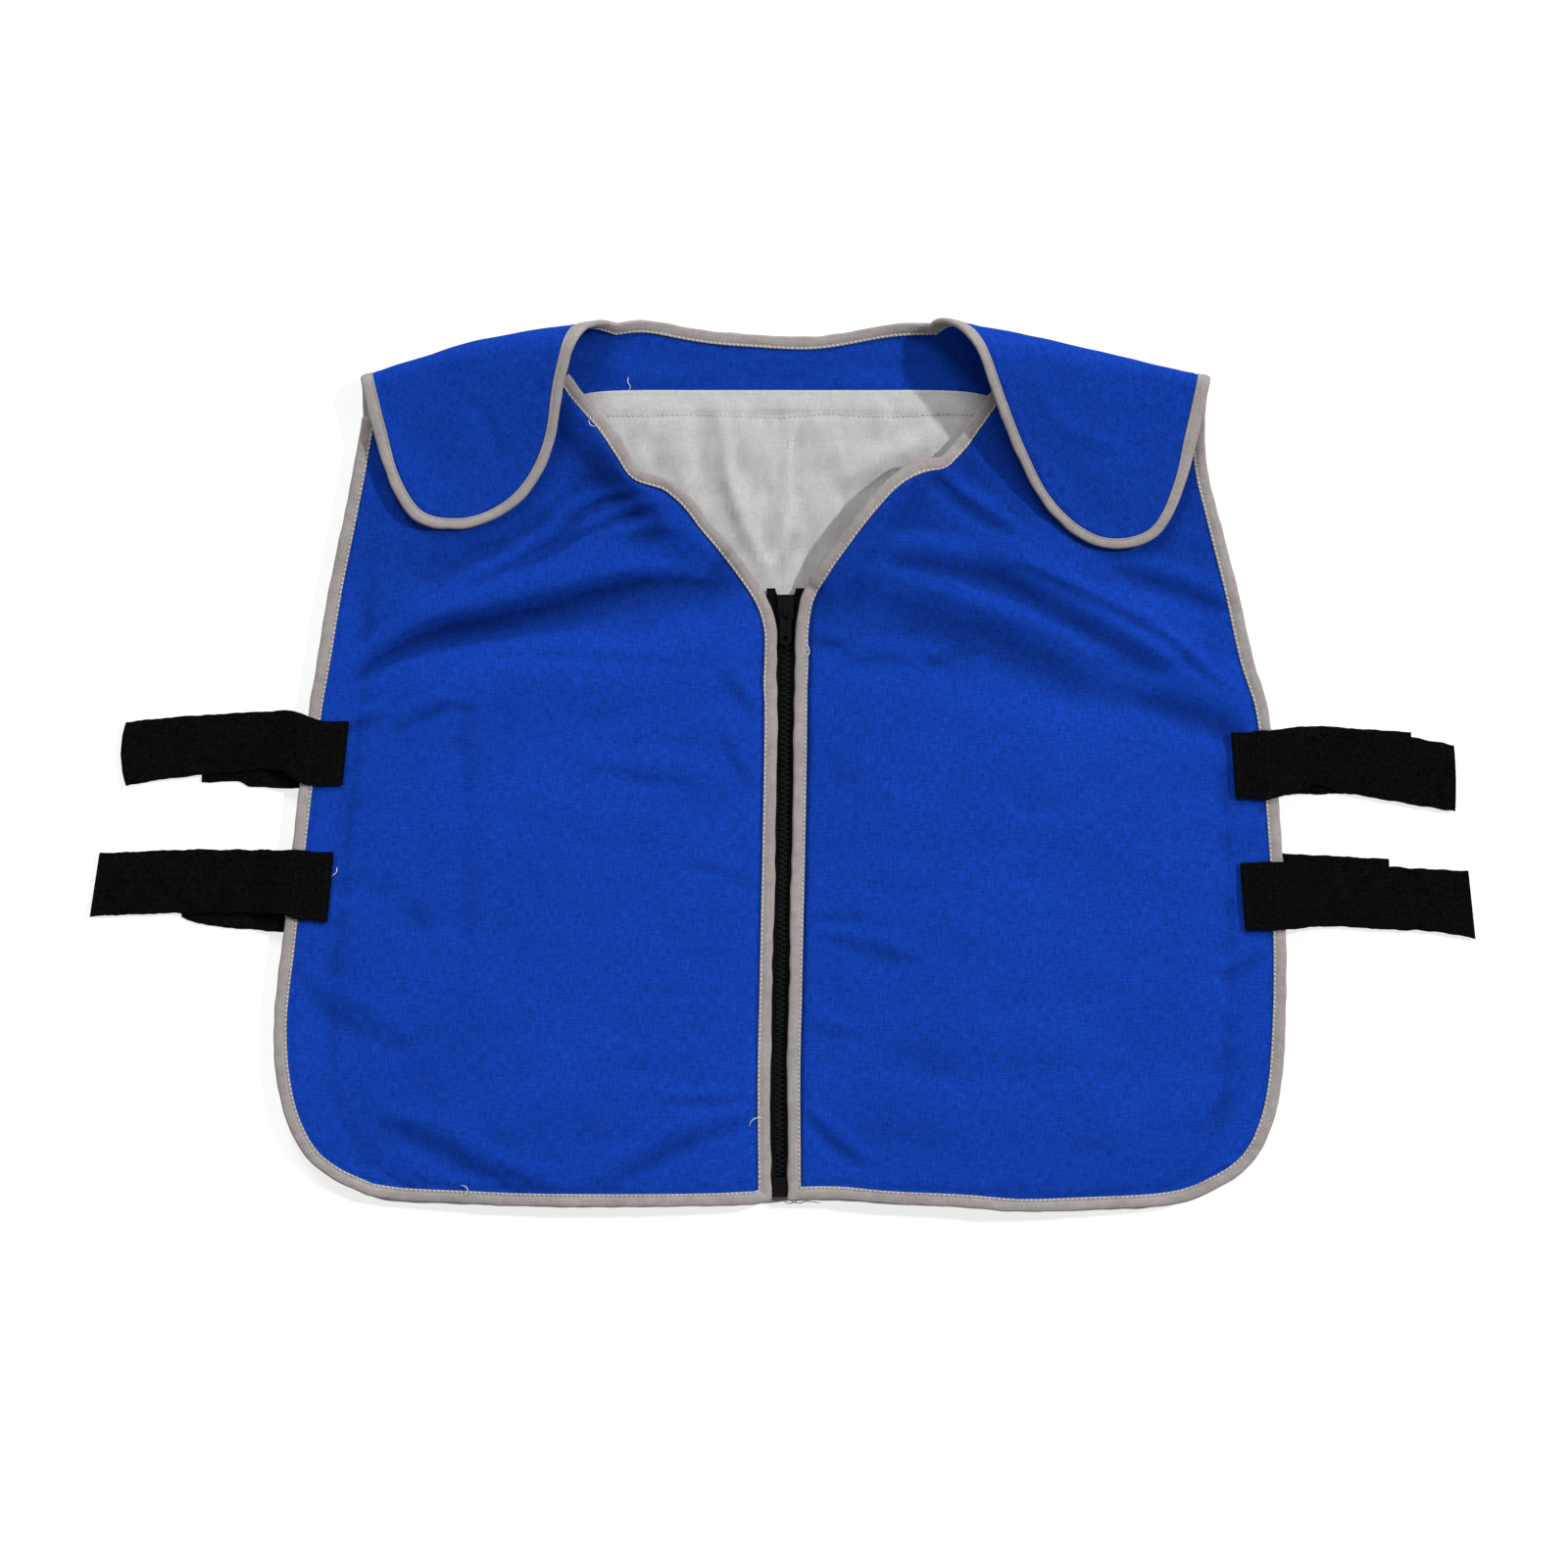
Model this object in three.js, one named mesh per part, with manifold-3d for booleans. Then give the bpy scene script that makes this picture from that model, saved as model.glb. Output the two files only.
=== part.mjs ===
// A cooling vest of padded cotton, lying on its back, zipped up and with its side straps fastened.
// Millimetres. +X is the wearer's left side as seen here, +Y runs from the hem to the neck, +Z is up.
// The shoulders of the back panel fold forward over the fronts as two round flaps.
import * as THREE from 'three';
import Module from 'manifold-3d';
import { mergeVertices } from 'three/addons/utils/BufferGeometryUtils.js';

const wasm = await Module();
wasm.setup();

// Overall sizes
const HALF_WIDTH = 310;
const BODY_LENGTH = 540;
const BACK_INSET = 1.5;

// Thicknesses and gaps
const CLOTH = 1.5;
const LINING = 1.0;
const BINDING = 0.9;
const BINDING_WIDTH = 9;
const GAP = 0.3;

// Side straps
const STRAP = 1.6;
const STRAP_WIDTH = 40;
const STRAP_SEWN = 26;
const STRAP_RAMP = 24;
const STRAP_CLEAR = 2;
const STRAP_REACH = 120;

// Shoulder flaps and the roll of cloth that they hang from: how long each is below its fold, how
// far the fold bows out, and how high the roll stands at the neck
const LEFT_FLAP_LENGTH = 107;
const LEFT_FLAP_BOW = 6;
const LEFT_NECK_LIFT = 34;
const RIGHT_FLAP_LENGTH = 116;
const RIGHT_FLAP_BOW = 1.5;
const RIGHT_NECK_LIFT = 42;
const FLAPS = {
  left: {
    sign: -1,
    outer: [-0.837, 0.936],
    inner: [-0.38, 0.997],
    bow: LEFT_FLAP_BOW,
    length: LEFT_FLAP_LENGTH,
    neckLift: LEFT_NECK_LIFT,
  },
  right: {
    sign: 1,
    outer: [0.837, 0.936],
    inner: [0.316, 1.0],
    bow: RIGHT_FLAP_BOW,
    length: RIGHT_FLAP_LENGTH,
    neckLift: RIGHT_NECK_LIFT,
  },
};
const FLAP_CLEARANCE = 4;
const NECK_FADE = 60;
const ROLL_STEPS = 5;

// Padding of the fronts: the height of the crown and of one crease
const PUFF = 11;
const CREASE = 4;

// Zip
const ZIP_HALF_GAP = 5.1;
const ZIP_LIFT = 2;
const TAPE = 0.8;
const TAPE_UNDER_PANEL = 7;
const TAPE_TAIL = 4;
const TAPE_FLARE = 5;
const CHAIN_WIDTH = 6;
const CHAIN_HEIGHT = 2.4;
const SLIDER_WIDTH = 9.6;
const SLIDER_LENGTH = 15;
const SLIDER_PLATE = 1.4;
const SLIDER_NECK = 3.4;
const CHAIN_IN_SLIDER = 9;
const ARCH_WIDTH = 2.2;
const ARCH_BAR = 1.2;
const PULL_WIDTH = 7;
const PULL_LENGTH = 20;
const PULL_THICK = 1.4;
const PULL_WINDOW = 4.2;
const PULL_HOLE = 1.6;
const PULL_PLAY = 0.4;
const PULL_SEAT = 4;
const PULL_HOLE_IN = 0.8;
const BOX_WIDTH = 7.8;
const BOX_LENGTH = 12;
const BOX_HEIGHT = 4.4;

// Side edges: up is a share of the body length from the hem, left and right of the half width.
const SIDES = [
  { up: 0.011, left: -0.82, right: 0.82 },
  { up: 0.033, left: -0.901, right: 0.891 },
  { up: 0.061, left: -0.953, right: 0.936 },
  { up: 0.117, left: -0.994, right: 0.971 },
  { up: 0.2, left: -1.009, right: 0.985 },
  { up: 0.3, left: -0.992, right: 0.987 },
  { up: 0.42, left: -0.969, right: 0.977 },
  { up: 0.56, left: -0.94, right: 0.953 },
  { up: 0.62, left: -0.922, right: 0.921 },
  { up: 0.7, left: -0.899, right: 0.89 },
  { up: 0.78, left: -0.871, right: 0.855 },
  { up: 0.84, left: -0.851, right: 0.831 },
  { up: 0.9, left: -0.834, right: 0.828 },
  { up: 0.95, left: -0.837, right: 0.837 },
];

// Hem edge: across is a share of the half width, up of the body length.
const HEM = [
  { across: -0.82, up: 0.011 },
  { across: -0.757, up: 0.006 },
  { across: -0.64, up: 0.003 },
  { across: -0.5, up: 0 },
  { across: -0.17, up: 0 },
  { across: -0.05, up: 0.003 },
  { across: 0.02, up: 0.007 },
  { across: 0.1, up: 0.008 },
  { across: 0.2, up: 0.003 },
  { across: 0.35, up: -0.001 },
  { across: 0.46, up: -0.006 },
  { across: 0.6, up: -0.004 },
  { across: 0.74, up: 0 },
  { across: 0.82, up: 0.009 },
];

// Front neckline above the zip, as shares of the body length and the half width.
const NECKLINE = [
  { up: 0.65, left: 0, right: 0 },
  { up: 0.656, left: -0.0015, right: 0.0015 },
  { up: 0.68, left: -0.012, right: 0.008 },
  { up: 0.71, left: -0.043, right: 0.033 },
  { up: 0.745, left: -0.088, right: 0.074 },
  { up: 0.78, left: -0.139, right: 0.119 },
  { up: 0.806, left: -0.175, right: 0.157 },
  { up: 0.822, left: -0.222, right: 0.184 },
  { up: 0.835, left: -0.264, right: 0.216 },
  { up: 0.845, left: -0.281, right: 0.256 },
  { up: 0.86, left: -0.3, right: 0.307 },
  { up: 0.888, left: -0.333, right: 0.347 },
  { up: 0.92, left: -0.382, right: 0.386 },
  { up: 0.95, left: -0.419, right: 0.424 },
];

// Middle line of the zip: across is a share of the half width.
const ZIP_LINE = [
  { up: 0, across: -0.012 },
  { up: 0.03, across: -0.012 },
  { up: 0.15, across: -0.013 },
  { up: 0.26, across: -0.009 },
  { up: 0.53, across: 0 },
  { up: 0.72, across: 0 },
];

// Back neck edge, between the two shoulders.
const BACK_NECK = [
  { across: -0.332, up: 1.003 },
  { across: -0.29, up: 1.007 },
  { across: -0.235, up: 1.0 },
  { across: -0.15, up: 0.991 },
  { across: -0.05, up: 0.987 },
  { across: 0.05, up: 0.984 },
  { across: 0.13, up: 0.991 },
  { across: 0.21, up: 1.0 },
  { across: 0.287, up: 1.004 },
];

// Rows across a front panel from the hem up: where the row meets the side edge and the front edge
// (shares of the body length), how full the padding is there, and how deep or proud a crease runs.
const FRONT_ROWS = {
  left: [
    { side: 0.033, front: 0.045, crown: 0.6, crease: 0 },
    { side: 0.061, front: 0.08, crown: 0.7, crease: 0 },
    { side: 0.117, front: 0.125, crown: 0.8, crease: 0.3 },
    { side: 0.2, front: 0.2, crown: 0.9, crease: 0 },
    { side: 0.3, front: 0.29, crown: 1, crease: 0 },
    { side: 0.38, front: 0.38, crown: 1, crease: 0 },
    { side: 0.46, front: 0.47, crown: 1, crease: 0 },
    { side: 0.53, front: 0.56, crown: 0.95, crease: 0 },
    { side: 0.585, front: 0.64, crown: 0.9, crease: 0.4 },
    { side: 0.624, front: 0.71, crown: 0.8, crease: -1 },
    { side: 0.655, front: 0.765, crown: 0.75, crease: 0.8 },
    { side: 0.7, front: 0.81, crown: 0.4, crease: 0 },
    { side: 0.76, front: 0.837, crown: 0.25, crease: 0 },
    { side: 0.82, front: 0.875, crown: 0.15, crease: 0 },
    { side: 0.86, front: 0.91, crown: 0.12, crease: 0 },
    { side: 0.893, front: 0.942, crown: 0.1, crease: 0 },
  ],
  right: [
    { side: 0.033, front: 0.045, crown: 0.6, crease: 0 },
    { side: 0.061, front: 0.08, crown: 0.7, crease: 0 },
    { side: 0.117, front: 0.125, crown: 0.8, crease: 0.3 },
    { side: 0.2, front: 0.2, crown: 0.9, crease: 0 },
    { side: 0.28, front: 0.29, crown: 1, crease: 0 },
    { side: 0.36, front: 0.38, crown: 1, crease: 0 },
    { side: 0.44, front: 0.47, crown: 1, crease: 0 },
    { side: 0.51, front: 0.58, crown: 0.95, crease: 0.3 },
    { side: 0.545, front: 0.7, crown: 0.85, crease: -1 },
    { side: 0.58, front: 0.755, crown: 0.8, crease: 1 },
    { side: 0.625, front: 0.8, crown: 0.6, crease: -0.3 },
    { side: 0.69, front: 0.83, crown: 0.3, crease: 0.2 },
    { side: 0.76, front: 0.85, crown: 0.22, crease: 0 },
    { side: 0.82, front: 0.88, crown: 0.15, crease: 0 },
    { side: 0.86, front: 0.91, crown: 0.12, crease: 0 },
    { side: 0.893, front: 0.942, crown: 0.1, crease: 0 },
  ],
};
const FRONT_COLUMNS = [0, 0.1, 0.2, 0.31, 0.42, 0.53, 0.64, 0.74, 0.84, 0.93, 1];
const HEM_CROWN = 0.5;

// Rows across the back below the shoulders: height in the middle and at the sides.
const BACK_ROWS = [
  { middle: 0.061, side: 0.061 },
  { middle: 0.13, side: 0.13 },
  { middle: 0.25, side: 0.25 },
  { middle: 0.42, side: 0.42 },
  { middle: 0.58, side: 0.58 },
  { middle: 0.72, side: 0.72 },
  { middle: 0.84, side: 0.82 },
  { middle: 0.924, side: 0.87 },
];
const SHOULDER_COLUMNS = 6;
const SHOULDER_SHARE = 0.27;
const NECK_COLUMNS = BACK_NECK.length - 1;

// Flap outline below the fold: down is a share of the flap's length, along of the fold's length,
// counted from the outer end.
const FLAP_ROWS = {
  left: [
    { outerAlong: 0, outerDown: 0.14, innerAlong: 0.865, innerDown: 0.21 },
    { outerAlong: 0, outerDown: 0.27, innerAlong: 0.82, innerDown: 0.31 },
    { outerAlong: 0.005, outerDown: 0.41, innerAlong: 0.79, innerDown: 0.43 },
    { outerAlong: 0.015, outerDown: 0.55, innerAlong: 0.76, innerDown: 0.55 },
    { outerAlong: 0.03, outerDown: 0.68, innerAlong: 0.71, innerDown: 0.67 },
    { outerAlong: 0.055, outerDown: 0.79, innerAlong: 0.64, innerDown: 0.79 },
    { outerAlong: 0.09, outerDown: 0.89, innerAlong: 0.53, innerDown: 0.91 },
  ],
  right: [
    { outerAlong: 0, outerDown: 0.14, innerAlong: 0.825, innerDown: 0.22 },
    { outerAlong: 0, outerDown: 0.28, innerAlong: 0.78, innerDown: 0.32 },
    { outerAlong: 0.005, outerDown: 0.43, innerAlong: 0.73, innerDown: 0.43 },
    { outerAlong: 0.012, outerDown: 0.56, innerAlong: 0.67, innerDown: 0.56 },
    { outerAlong: 0.02, outerDown: 0.69, innerAlong: 0.6, innerDown: 0.69 },
    { outerAlong: 0.04, outerDown: 0.8, innerAlong: 0.54, innerDown: 0.8 },
    { outerAlong: 0.07, outerDown: 0.9, innerAlong: 0.45, innerDown: 0.9 },
  ],
};
const TIP_DROP = 0.1;
const CORNER_ALONG = 1.08;

// Side straps: heights as shares of the body length at the side edge and at the free end of the
// strap, and how far it reaches beyond the edge, as a share of STRAP_REACH. The back strap lies
// under the front one.
const FRONT_STRAPS = [
  { name: 'upper_left', sign: -1, edge: 0.516, tip: 0.512, reach: 0.908 },
  { name: 'lower_left', sign: -1, edge: 0.366, tip: 0.363, reach: 1.017 },
  { name: 'upper_right', sign: 1, edge: 0.501, tip: 0.484, reach: 0.917 },
  { name: 'lower_right', sign: 1, edge: 0.351, tip: 0.34, reach: 0.958 },
];
const BACK_STRAPS = [
  { name: 'upper_left', sign: -1, edge: 0.509, tip: 0.514, reach: 0.517 },
  { name: 'lower_left', sign: -1, edge: 0.347, tip: 0.361, reach: 0.608 },
  { name: 'upper_right', sign: 1, edge: 0.507, tip: 0.5, reach: 0.692 },
  { name: 'lower_right', sign: 1, edge: 0.362, tip: 0.357, reach: 0.542 },
];

// Heights that the layers stack up to, from the floor.
const BOUND = CLOTH / 2 + GAP + BINDING;
const BACK_FIELD_Z = CLOTH / 2;
const BACK_EDGE_Z = BOUND;
const BACK_STRAP_Z = BACK_EDGE_Z + BOUND + GAP + STRAP / 2;
const FRONT_EDGE_Z = BACK_STRAP_Z + STRAP / 2 + GAP + BOUND;
const FRONT_ZIP_Z = FRONT_EDGE_Z + ZIP_LIFT;
const FRONT_STRAP_Z = FRONT_EDGE_Z + BOUND + GAP + STRAP / 2;
const FLAP_REST_Z = FRONT_EDGE_Z + 2 * BOUND + GAP + FLAP_CLEARANCE;
const TAPE_Z = FRONT_ZIP_Z - BOUND - GAP - TAPE / 2;
const SLIDER_INNER = CHAIN_HEIGHT / 2 + GAP;
const SLIDER_TOP_Z = TAPE_Z + SLIDER_INNER + SLIDER_PLATE;
const PULL_Z = SLIDER_TOP_Z + PULL_PLAY + PULL_THICK / 2;
const SLIDER_Y = 0.678 * BODY_LENGTH;
const ZIP_BOTTOM_Y = 0.0105 * BODY_LENGTH;

const lerp = THREE.MathUtils.lerp;
const smooth = (t) => THREE.MathUtils.smoothstep(t, 0, 1);

// Value of a table's column between its rows, on a smooth curve through them.
function read(table, key, at, column) {
  let row = 0;
  while (row < table.length - 2 && table[row + 1][key] < at) row += 1;
  const [p, q] = [table[row], table[row + 1]];
  const before = table[Math.max(row - 1, 0)];
  const after = table[Math.min(row + 2, table.length - 1)];
  const span = q[key] - p[key];
  const t = THREE.MathUtils.clamp((at - p[key]) / span, 0, 1);
  const slopeIn = (q[column] - before[column]) / (q[key] - before[key]) * span;
  const slopeOut = (after[column] - p[column]) / (after[key] - p[key]) * span;
  const [t2, t3] = [t * t, t * t * t];
  return (2 * t3 - 3 * t2 + 1) * p[column] + (t3 - 2 * t2 + t) * slopeIn
    + (3 * t2 - 2 * t3) * q[column] + (t3 - t2) * slopeOut;
}

const zipX = (up) => HALF_WIDTH * read(ZIP_LINE, 'up', up, 'across');
const sidePoint = (side, up, inset = 0) => {
  const x = HALF_WIDTH * read(SIDES, 'up', up, side);
  return new THREE.Vector2(x - Math.sign(x) * inset, up * BODY_LENGTH);
};
const hemPoint = (across, drop = 0) =>
  new THREE.Vector2(across * HALF_WIDTH, read(HEM, 'across', across, 'up') * BODY_LENGTH - drop);
const frontPoint = (side, up) => {
  const sign = FLAPS[side].sign;
  const opened = HALF_WIDTH * read(NECKLINE, 'up', Math.max(up, NECKLINE[0].up), side);
  return new THREE.Vector2(zipX(up) + sign * ZIP_HALF_GAP + opened, up * BODY_LENGTH);
};

// A closed body from its corner points and its four-sided faces, each listed anticlockwise.
function bodyOf(points, quads) {
  const geometry = new THREE.BufferGeometry();
  const position = points.flatMap((p) => [p.x, p.y, p.z]);
  geometry.setAttribute('position', new THREE.Float32BufferAttribute(position, 3));
  geometry.setIndex(quads.flatMap(([a, b, c, d]) => [a, b, c, a, c, d]));
  geometry.computeVertexNormals();
  return geometry;
}

// Moves each point of a closed outline inwards by the same distance.
function insetLoop(loop, distance) {
  return loop.map((point, k) => {
    const ahead = loop[(k + 1) % loop.length].clone().sub(point).normalize();
    const behind = point.clone().sub(loop[(k + loop.length - 1) % loop.length]).normalize();
    const along = ahead.clone().add(behind).normalize();
    const inward = new THREE.Vector2(-along.y, along.x);
    const mitre = Math.max(ahead.dot(along), 0.6);
    return point.clone().addScaledVector(inward, distance / mitre);
  });
}

// A cloth sheet: cells are quads of point numbers, loop the points of the whole rim in order. The
// cloth runs on past the rim, into the binding, up to the binding's own wall. Where a sheet is only
// one piece of the cut, its seam is a plain wall, moved by seamShift to leave a gap.
function clothSheet(sheet, cells = sheet.cells, seam = [], seamShift = new THREE.Vector2()) {
  const { spots, heights, loop, outer, place } = sheet;
  const count = spots.length;
  const edge = loop.map((id, k) => {
    const reach = 1 - (BINDING + GAP) / outer[k].distanceTo(spots[id]);
    return spots[id].clone().lerp(outer[k], reach);
  });
  const flat = [...spots, ...edge].map((spot, id) => {
    const onSeam = seam.includes(id < count ? id : loop[id - count]);
    return onSeam ? spot.clone().add(seamShift) : spot;
  });
  const z = [...heights, ...loop.map((id) => heights[id])];
  const points = [CLOTH / 2, -CLOTH / 2].flatMap((h) => flat.map((q, i) => place(q, z[i], h)));
  const under = flat.length;
  const quads = [];
  const wall = (a, b) => quads.push([a, a + under, b + under, b]);
  const open = new Set();
  for (const cell of cells) {
    quads.push(cell, cell.map((id) => id + under).reverse());
    cell.forEach((id, c) => {
      const next = cell[(c + 1) % 4];
      if (!open.delete(`${next},${id}`)) open.add(`${id},${next}`);
    });
  }
  const bound = loop.map((id, k) => open.delete(`${id},${loop[(k + 1) % loop.length]}`));
  loop.forEach((id, k) => {
    const next = (k + 1) % loop.length;
    const before = bound[(k + loop.length - 1) % loop.length];
    if (bound[k]) {
      const strip = [id, count + k, count + next, loop[next]];
      quads.push(strip, strip.map((corner) => corner + under).reverse());
      wall(count + k, count + next);
    }
    if (bound[k] && !before) wall(id, count + k);
    if (before && !bound[k]) wall(count + k, id);
  });
  for (const side of open) wall(...side.split(',').map(Number));
  const used = [...new Set(quads.flat())].sort((a, b) => a - b);
  const renumbered = new Map(used.map((id, at) => [id, at]));
  return bodyOf(used.map((id) => points[id]), quads.map((quad) => quad.map((id) => renumbered.get(id))));
}

// The binding round a sheet: a channel carried along the rim, its two legs over and under it.
function bindingRound(sheet) {
  const { spots, heights, loop, outer, place } = sheet;
  const inside = CLOTH / 2 + GAP;
  const section = [
    { out: 0, back: 0, h: inside },
    { out: 1, back: BINDING, h: inside },
    { out: 1, back: BINDING, h: -inside },
    { out: 0, back: 0, h: -inside },
    { out: 0, back: 0, h: -BOUND },
    { out: 1, back: 0, h: -BOUND },
    { out: 1, back: 0, h: BOUND },
    { out: 0, back: 0, h: BOUND },
  ];
  const points = loop.flatMap((id, k) => section.map(({ out, back, h }) => {
    const reach = out * (1 - back / outer[k].distanceTo(spots[id]));
    return place(spots[id].clone().lerp(outer[k], reach), heights[id], h);
  }));
  const size = section.length;
  const quads = loop.flatMap((id, k) => section.map((corner, p) => {
    const [here, there] = [k * size, ((k + 1) % loop.length) * size];
    const next = (p + 1) % size;
    return [here + p, there + p, there + next, here + next];
  }));
  return bodyOf(points, quads);
}

const upright = (q, z, h) => new THREE.Vector3(q.x, q.y, z + h);

// A front panel between its side edge, the hem, the zip and neckline, and its top edge.
function frontSheet(side) {
  const mirrored = FLAPS[side].sign > 0;
  const rows = FRONT_ROWS[side];
  const columns = FRONT_COLUMNS;
  const [last, top] = [columns.length - 1, rows.length];
  const hemSide = FLAPS[side].sign * SIDES[0].right;
  const hemFront = frontPoint(side, HEM[6].up).x / HALF_WIDTH;
  const topRow = rows[top - 1];
  const outline = (i, j) => {
    const u = columns[j];
    if (i === 0) return hemPoint(lerp(hemSide, hemFront, u));
    const row = rows[i - 1];
    if (i === top && j > 0 && j < last) {
      return sidePoint(side, topRow.side).lerp(frontPoint(side, topRow.front), u);
    }
    return j === 0 ? sidePoint(side, row.side) : frontPoint(side, row.front);
  };
  const number = (i, j) => i * columns.length + j;
  const rim = [];
  for (let j = 0; j < last; j += 1) rim.push([0, j]);
  for (let i = 0; i < top; i += 1) rim.push([i, last]);
  for (let j = last; j > 0; j -= 1) rim.push([top, j]);
  for (let i = top; i > 0; i -= 1) rim.push([i, 0]);
  if (mirrored) rim.reverse();
  const outer = rim.map(([i, j]) => outline(i, j));
  const inner = insetLoop(outer, BINDING_WIDTH);
  const spots = [];
  rim.forEach(([i, j], k) => { spots[number(i, j)] = inner[k]; });
  for (let i = 1; i < top; i += 1) {
    for (let j = 1; j < last; j += 1) {
      const ends = [spots[number(i, 0)], spots[number(i, last)]];
      spots[number(i, j)] = ends[0].clone().lerp(ends[1], columns[j]);
    }
  }
  const heights = [];
  const cells = [];
  for (let i = 0; i <= top; i += 1) {
    const row = i === 0 ? { crown: HEM_CROWN, crease: 0 } : rows[i - 1];
    columns.forEach((u, j) => {
      const arch = Math.sin(Math.PI * Math.max(0, (u - columns[1]) / (1 - columns[1])));
      const full = row.crown * PUFF * arch ** 0.8 + row.crease * CREASE * arch;
      heights[number(i, j)] = lerp(FRONT_EDGE_Z, FRONT_ZIP_Z, smooth(u)) + full;
      if (i < top && j < last) {
        const cell = [number(i, j), number(i, j + 1), number(i + 1, j + 1), number(i + 1, j)];
        cells.push(mirrored ? cell.reverse() : cell);
      }
    });
  }
  return { spots, heights, cells, loop: rim.map(([i, j]) => number(i, j)), outer, place: upright };
}

// One shoulder fold: its line, and the radius of the roll along it. The roll's axis lies inside
// the fold line by that radius, and the radius grows from the outer end to the neck.
function shoulderFold(side) {
  const { outer, inner, bow, length, neckLift, sign } = FLAPS[side];
  const start = new THREE.Vector2(outer[0] * HALF_WIDTH, outer[1] * BODY_LENGTH);
  const end = new THREE.Vector2(inner[0] * HALF_WIDTH, inner[1] * BODY_LENGTH);
  const width = start.distanceTo(end);
  const along = end.clone().sub(start).divideScalar(width);
  const away = new THREE.Vector2(along.y, -along.x).multiplyScalar(sign);
  const lowRadius = (FLAP_REST_Z - BACK_EDGE_Z) / 2;
  const radius = (a) => lerp(lowRadius, neckLift / 2, THREE.MathUtils.clamp(a / width, 0, 1) ** 1.4);
  const bulge = (a) => bow * Math.sin(Math.PI * THREE.MathUtils.clamp(a / width, 0, 1));
  const axis = (a) => start.clone().addScaledVector(along, a).addScaledVector(away, bulge(a) - radius(a));
  return { width, length, along, away, start, radius, bulge, axis };
}

const FOLDS = { left: shoulderFold('left'), right: shoulderFold('right') };

// Carries a point of the flat cut back to where it lies: flat on the floor, round the roll at the
// shoulder, or on the flap beyond it. Near the neck the roll fades out along the neck edge.
function drapeBack(q, z, h) {
  const fold = q.x < 0 ? FOLDS.left : FOLDS.right;
  const from = q.clone().sub(fold.start);
  const a = from.dot(fold.along);
  const radius = fold.radius(a);
  const b = from.dot(fold.away) - fold.bulge(a) + radius;
  if (b <= 0) return upright(q, z, h);
  const turn = Math.min(b / radius, Math.PI);
  const beyond = Math.max(0, b - Math.PI * radius);
  const rest = FLAP_REST_Z - z - 2 * radius;
  const settled = smooth(beyond / (0.9 * fold.length));
  const level = z + radius * (1 - Math.cos(turn)) + rest * settled;
  const rolled = fold.axis(a).addScaledVector(fold.away, radius * Math.sin(turn) - beyond);
  const place = new THREE.Vector3(rolled.x, rolled.y, level + h * Math.cos(turn));
  place.x -= fold.away.x * h * Math.sin(turn);
  place.y -= fold.away.y * h * Math.sin(turn);
  const fade = smooth((a - fold.width) / NECK_FADE);
  return place.lerp(upright(q, z, h), fade);
}

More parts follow.
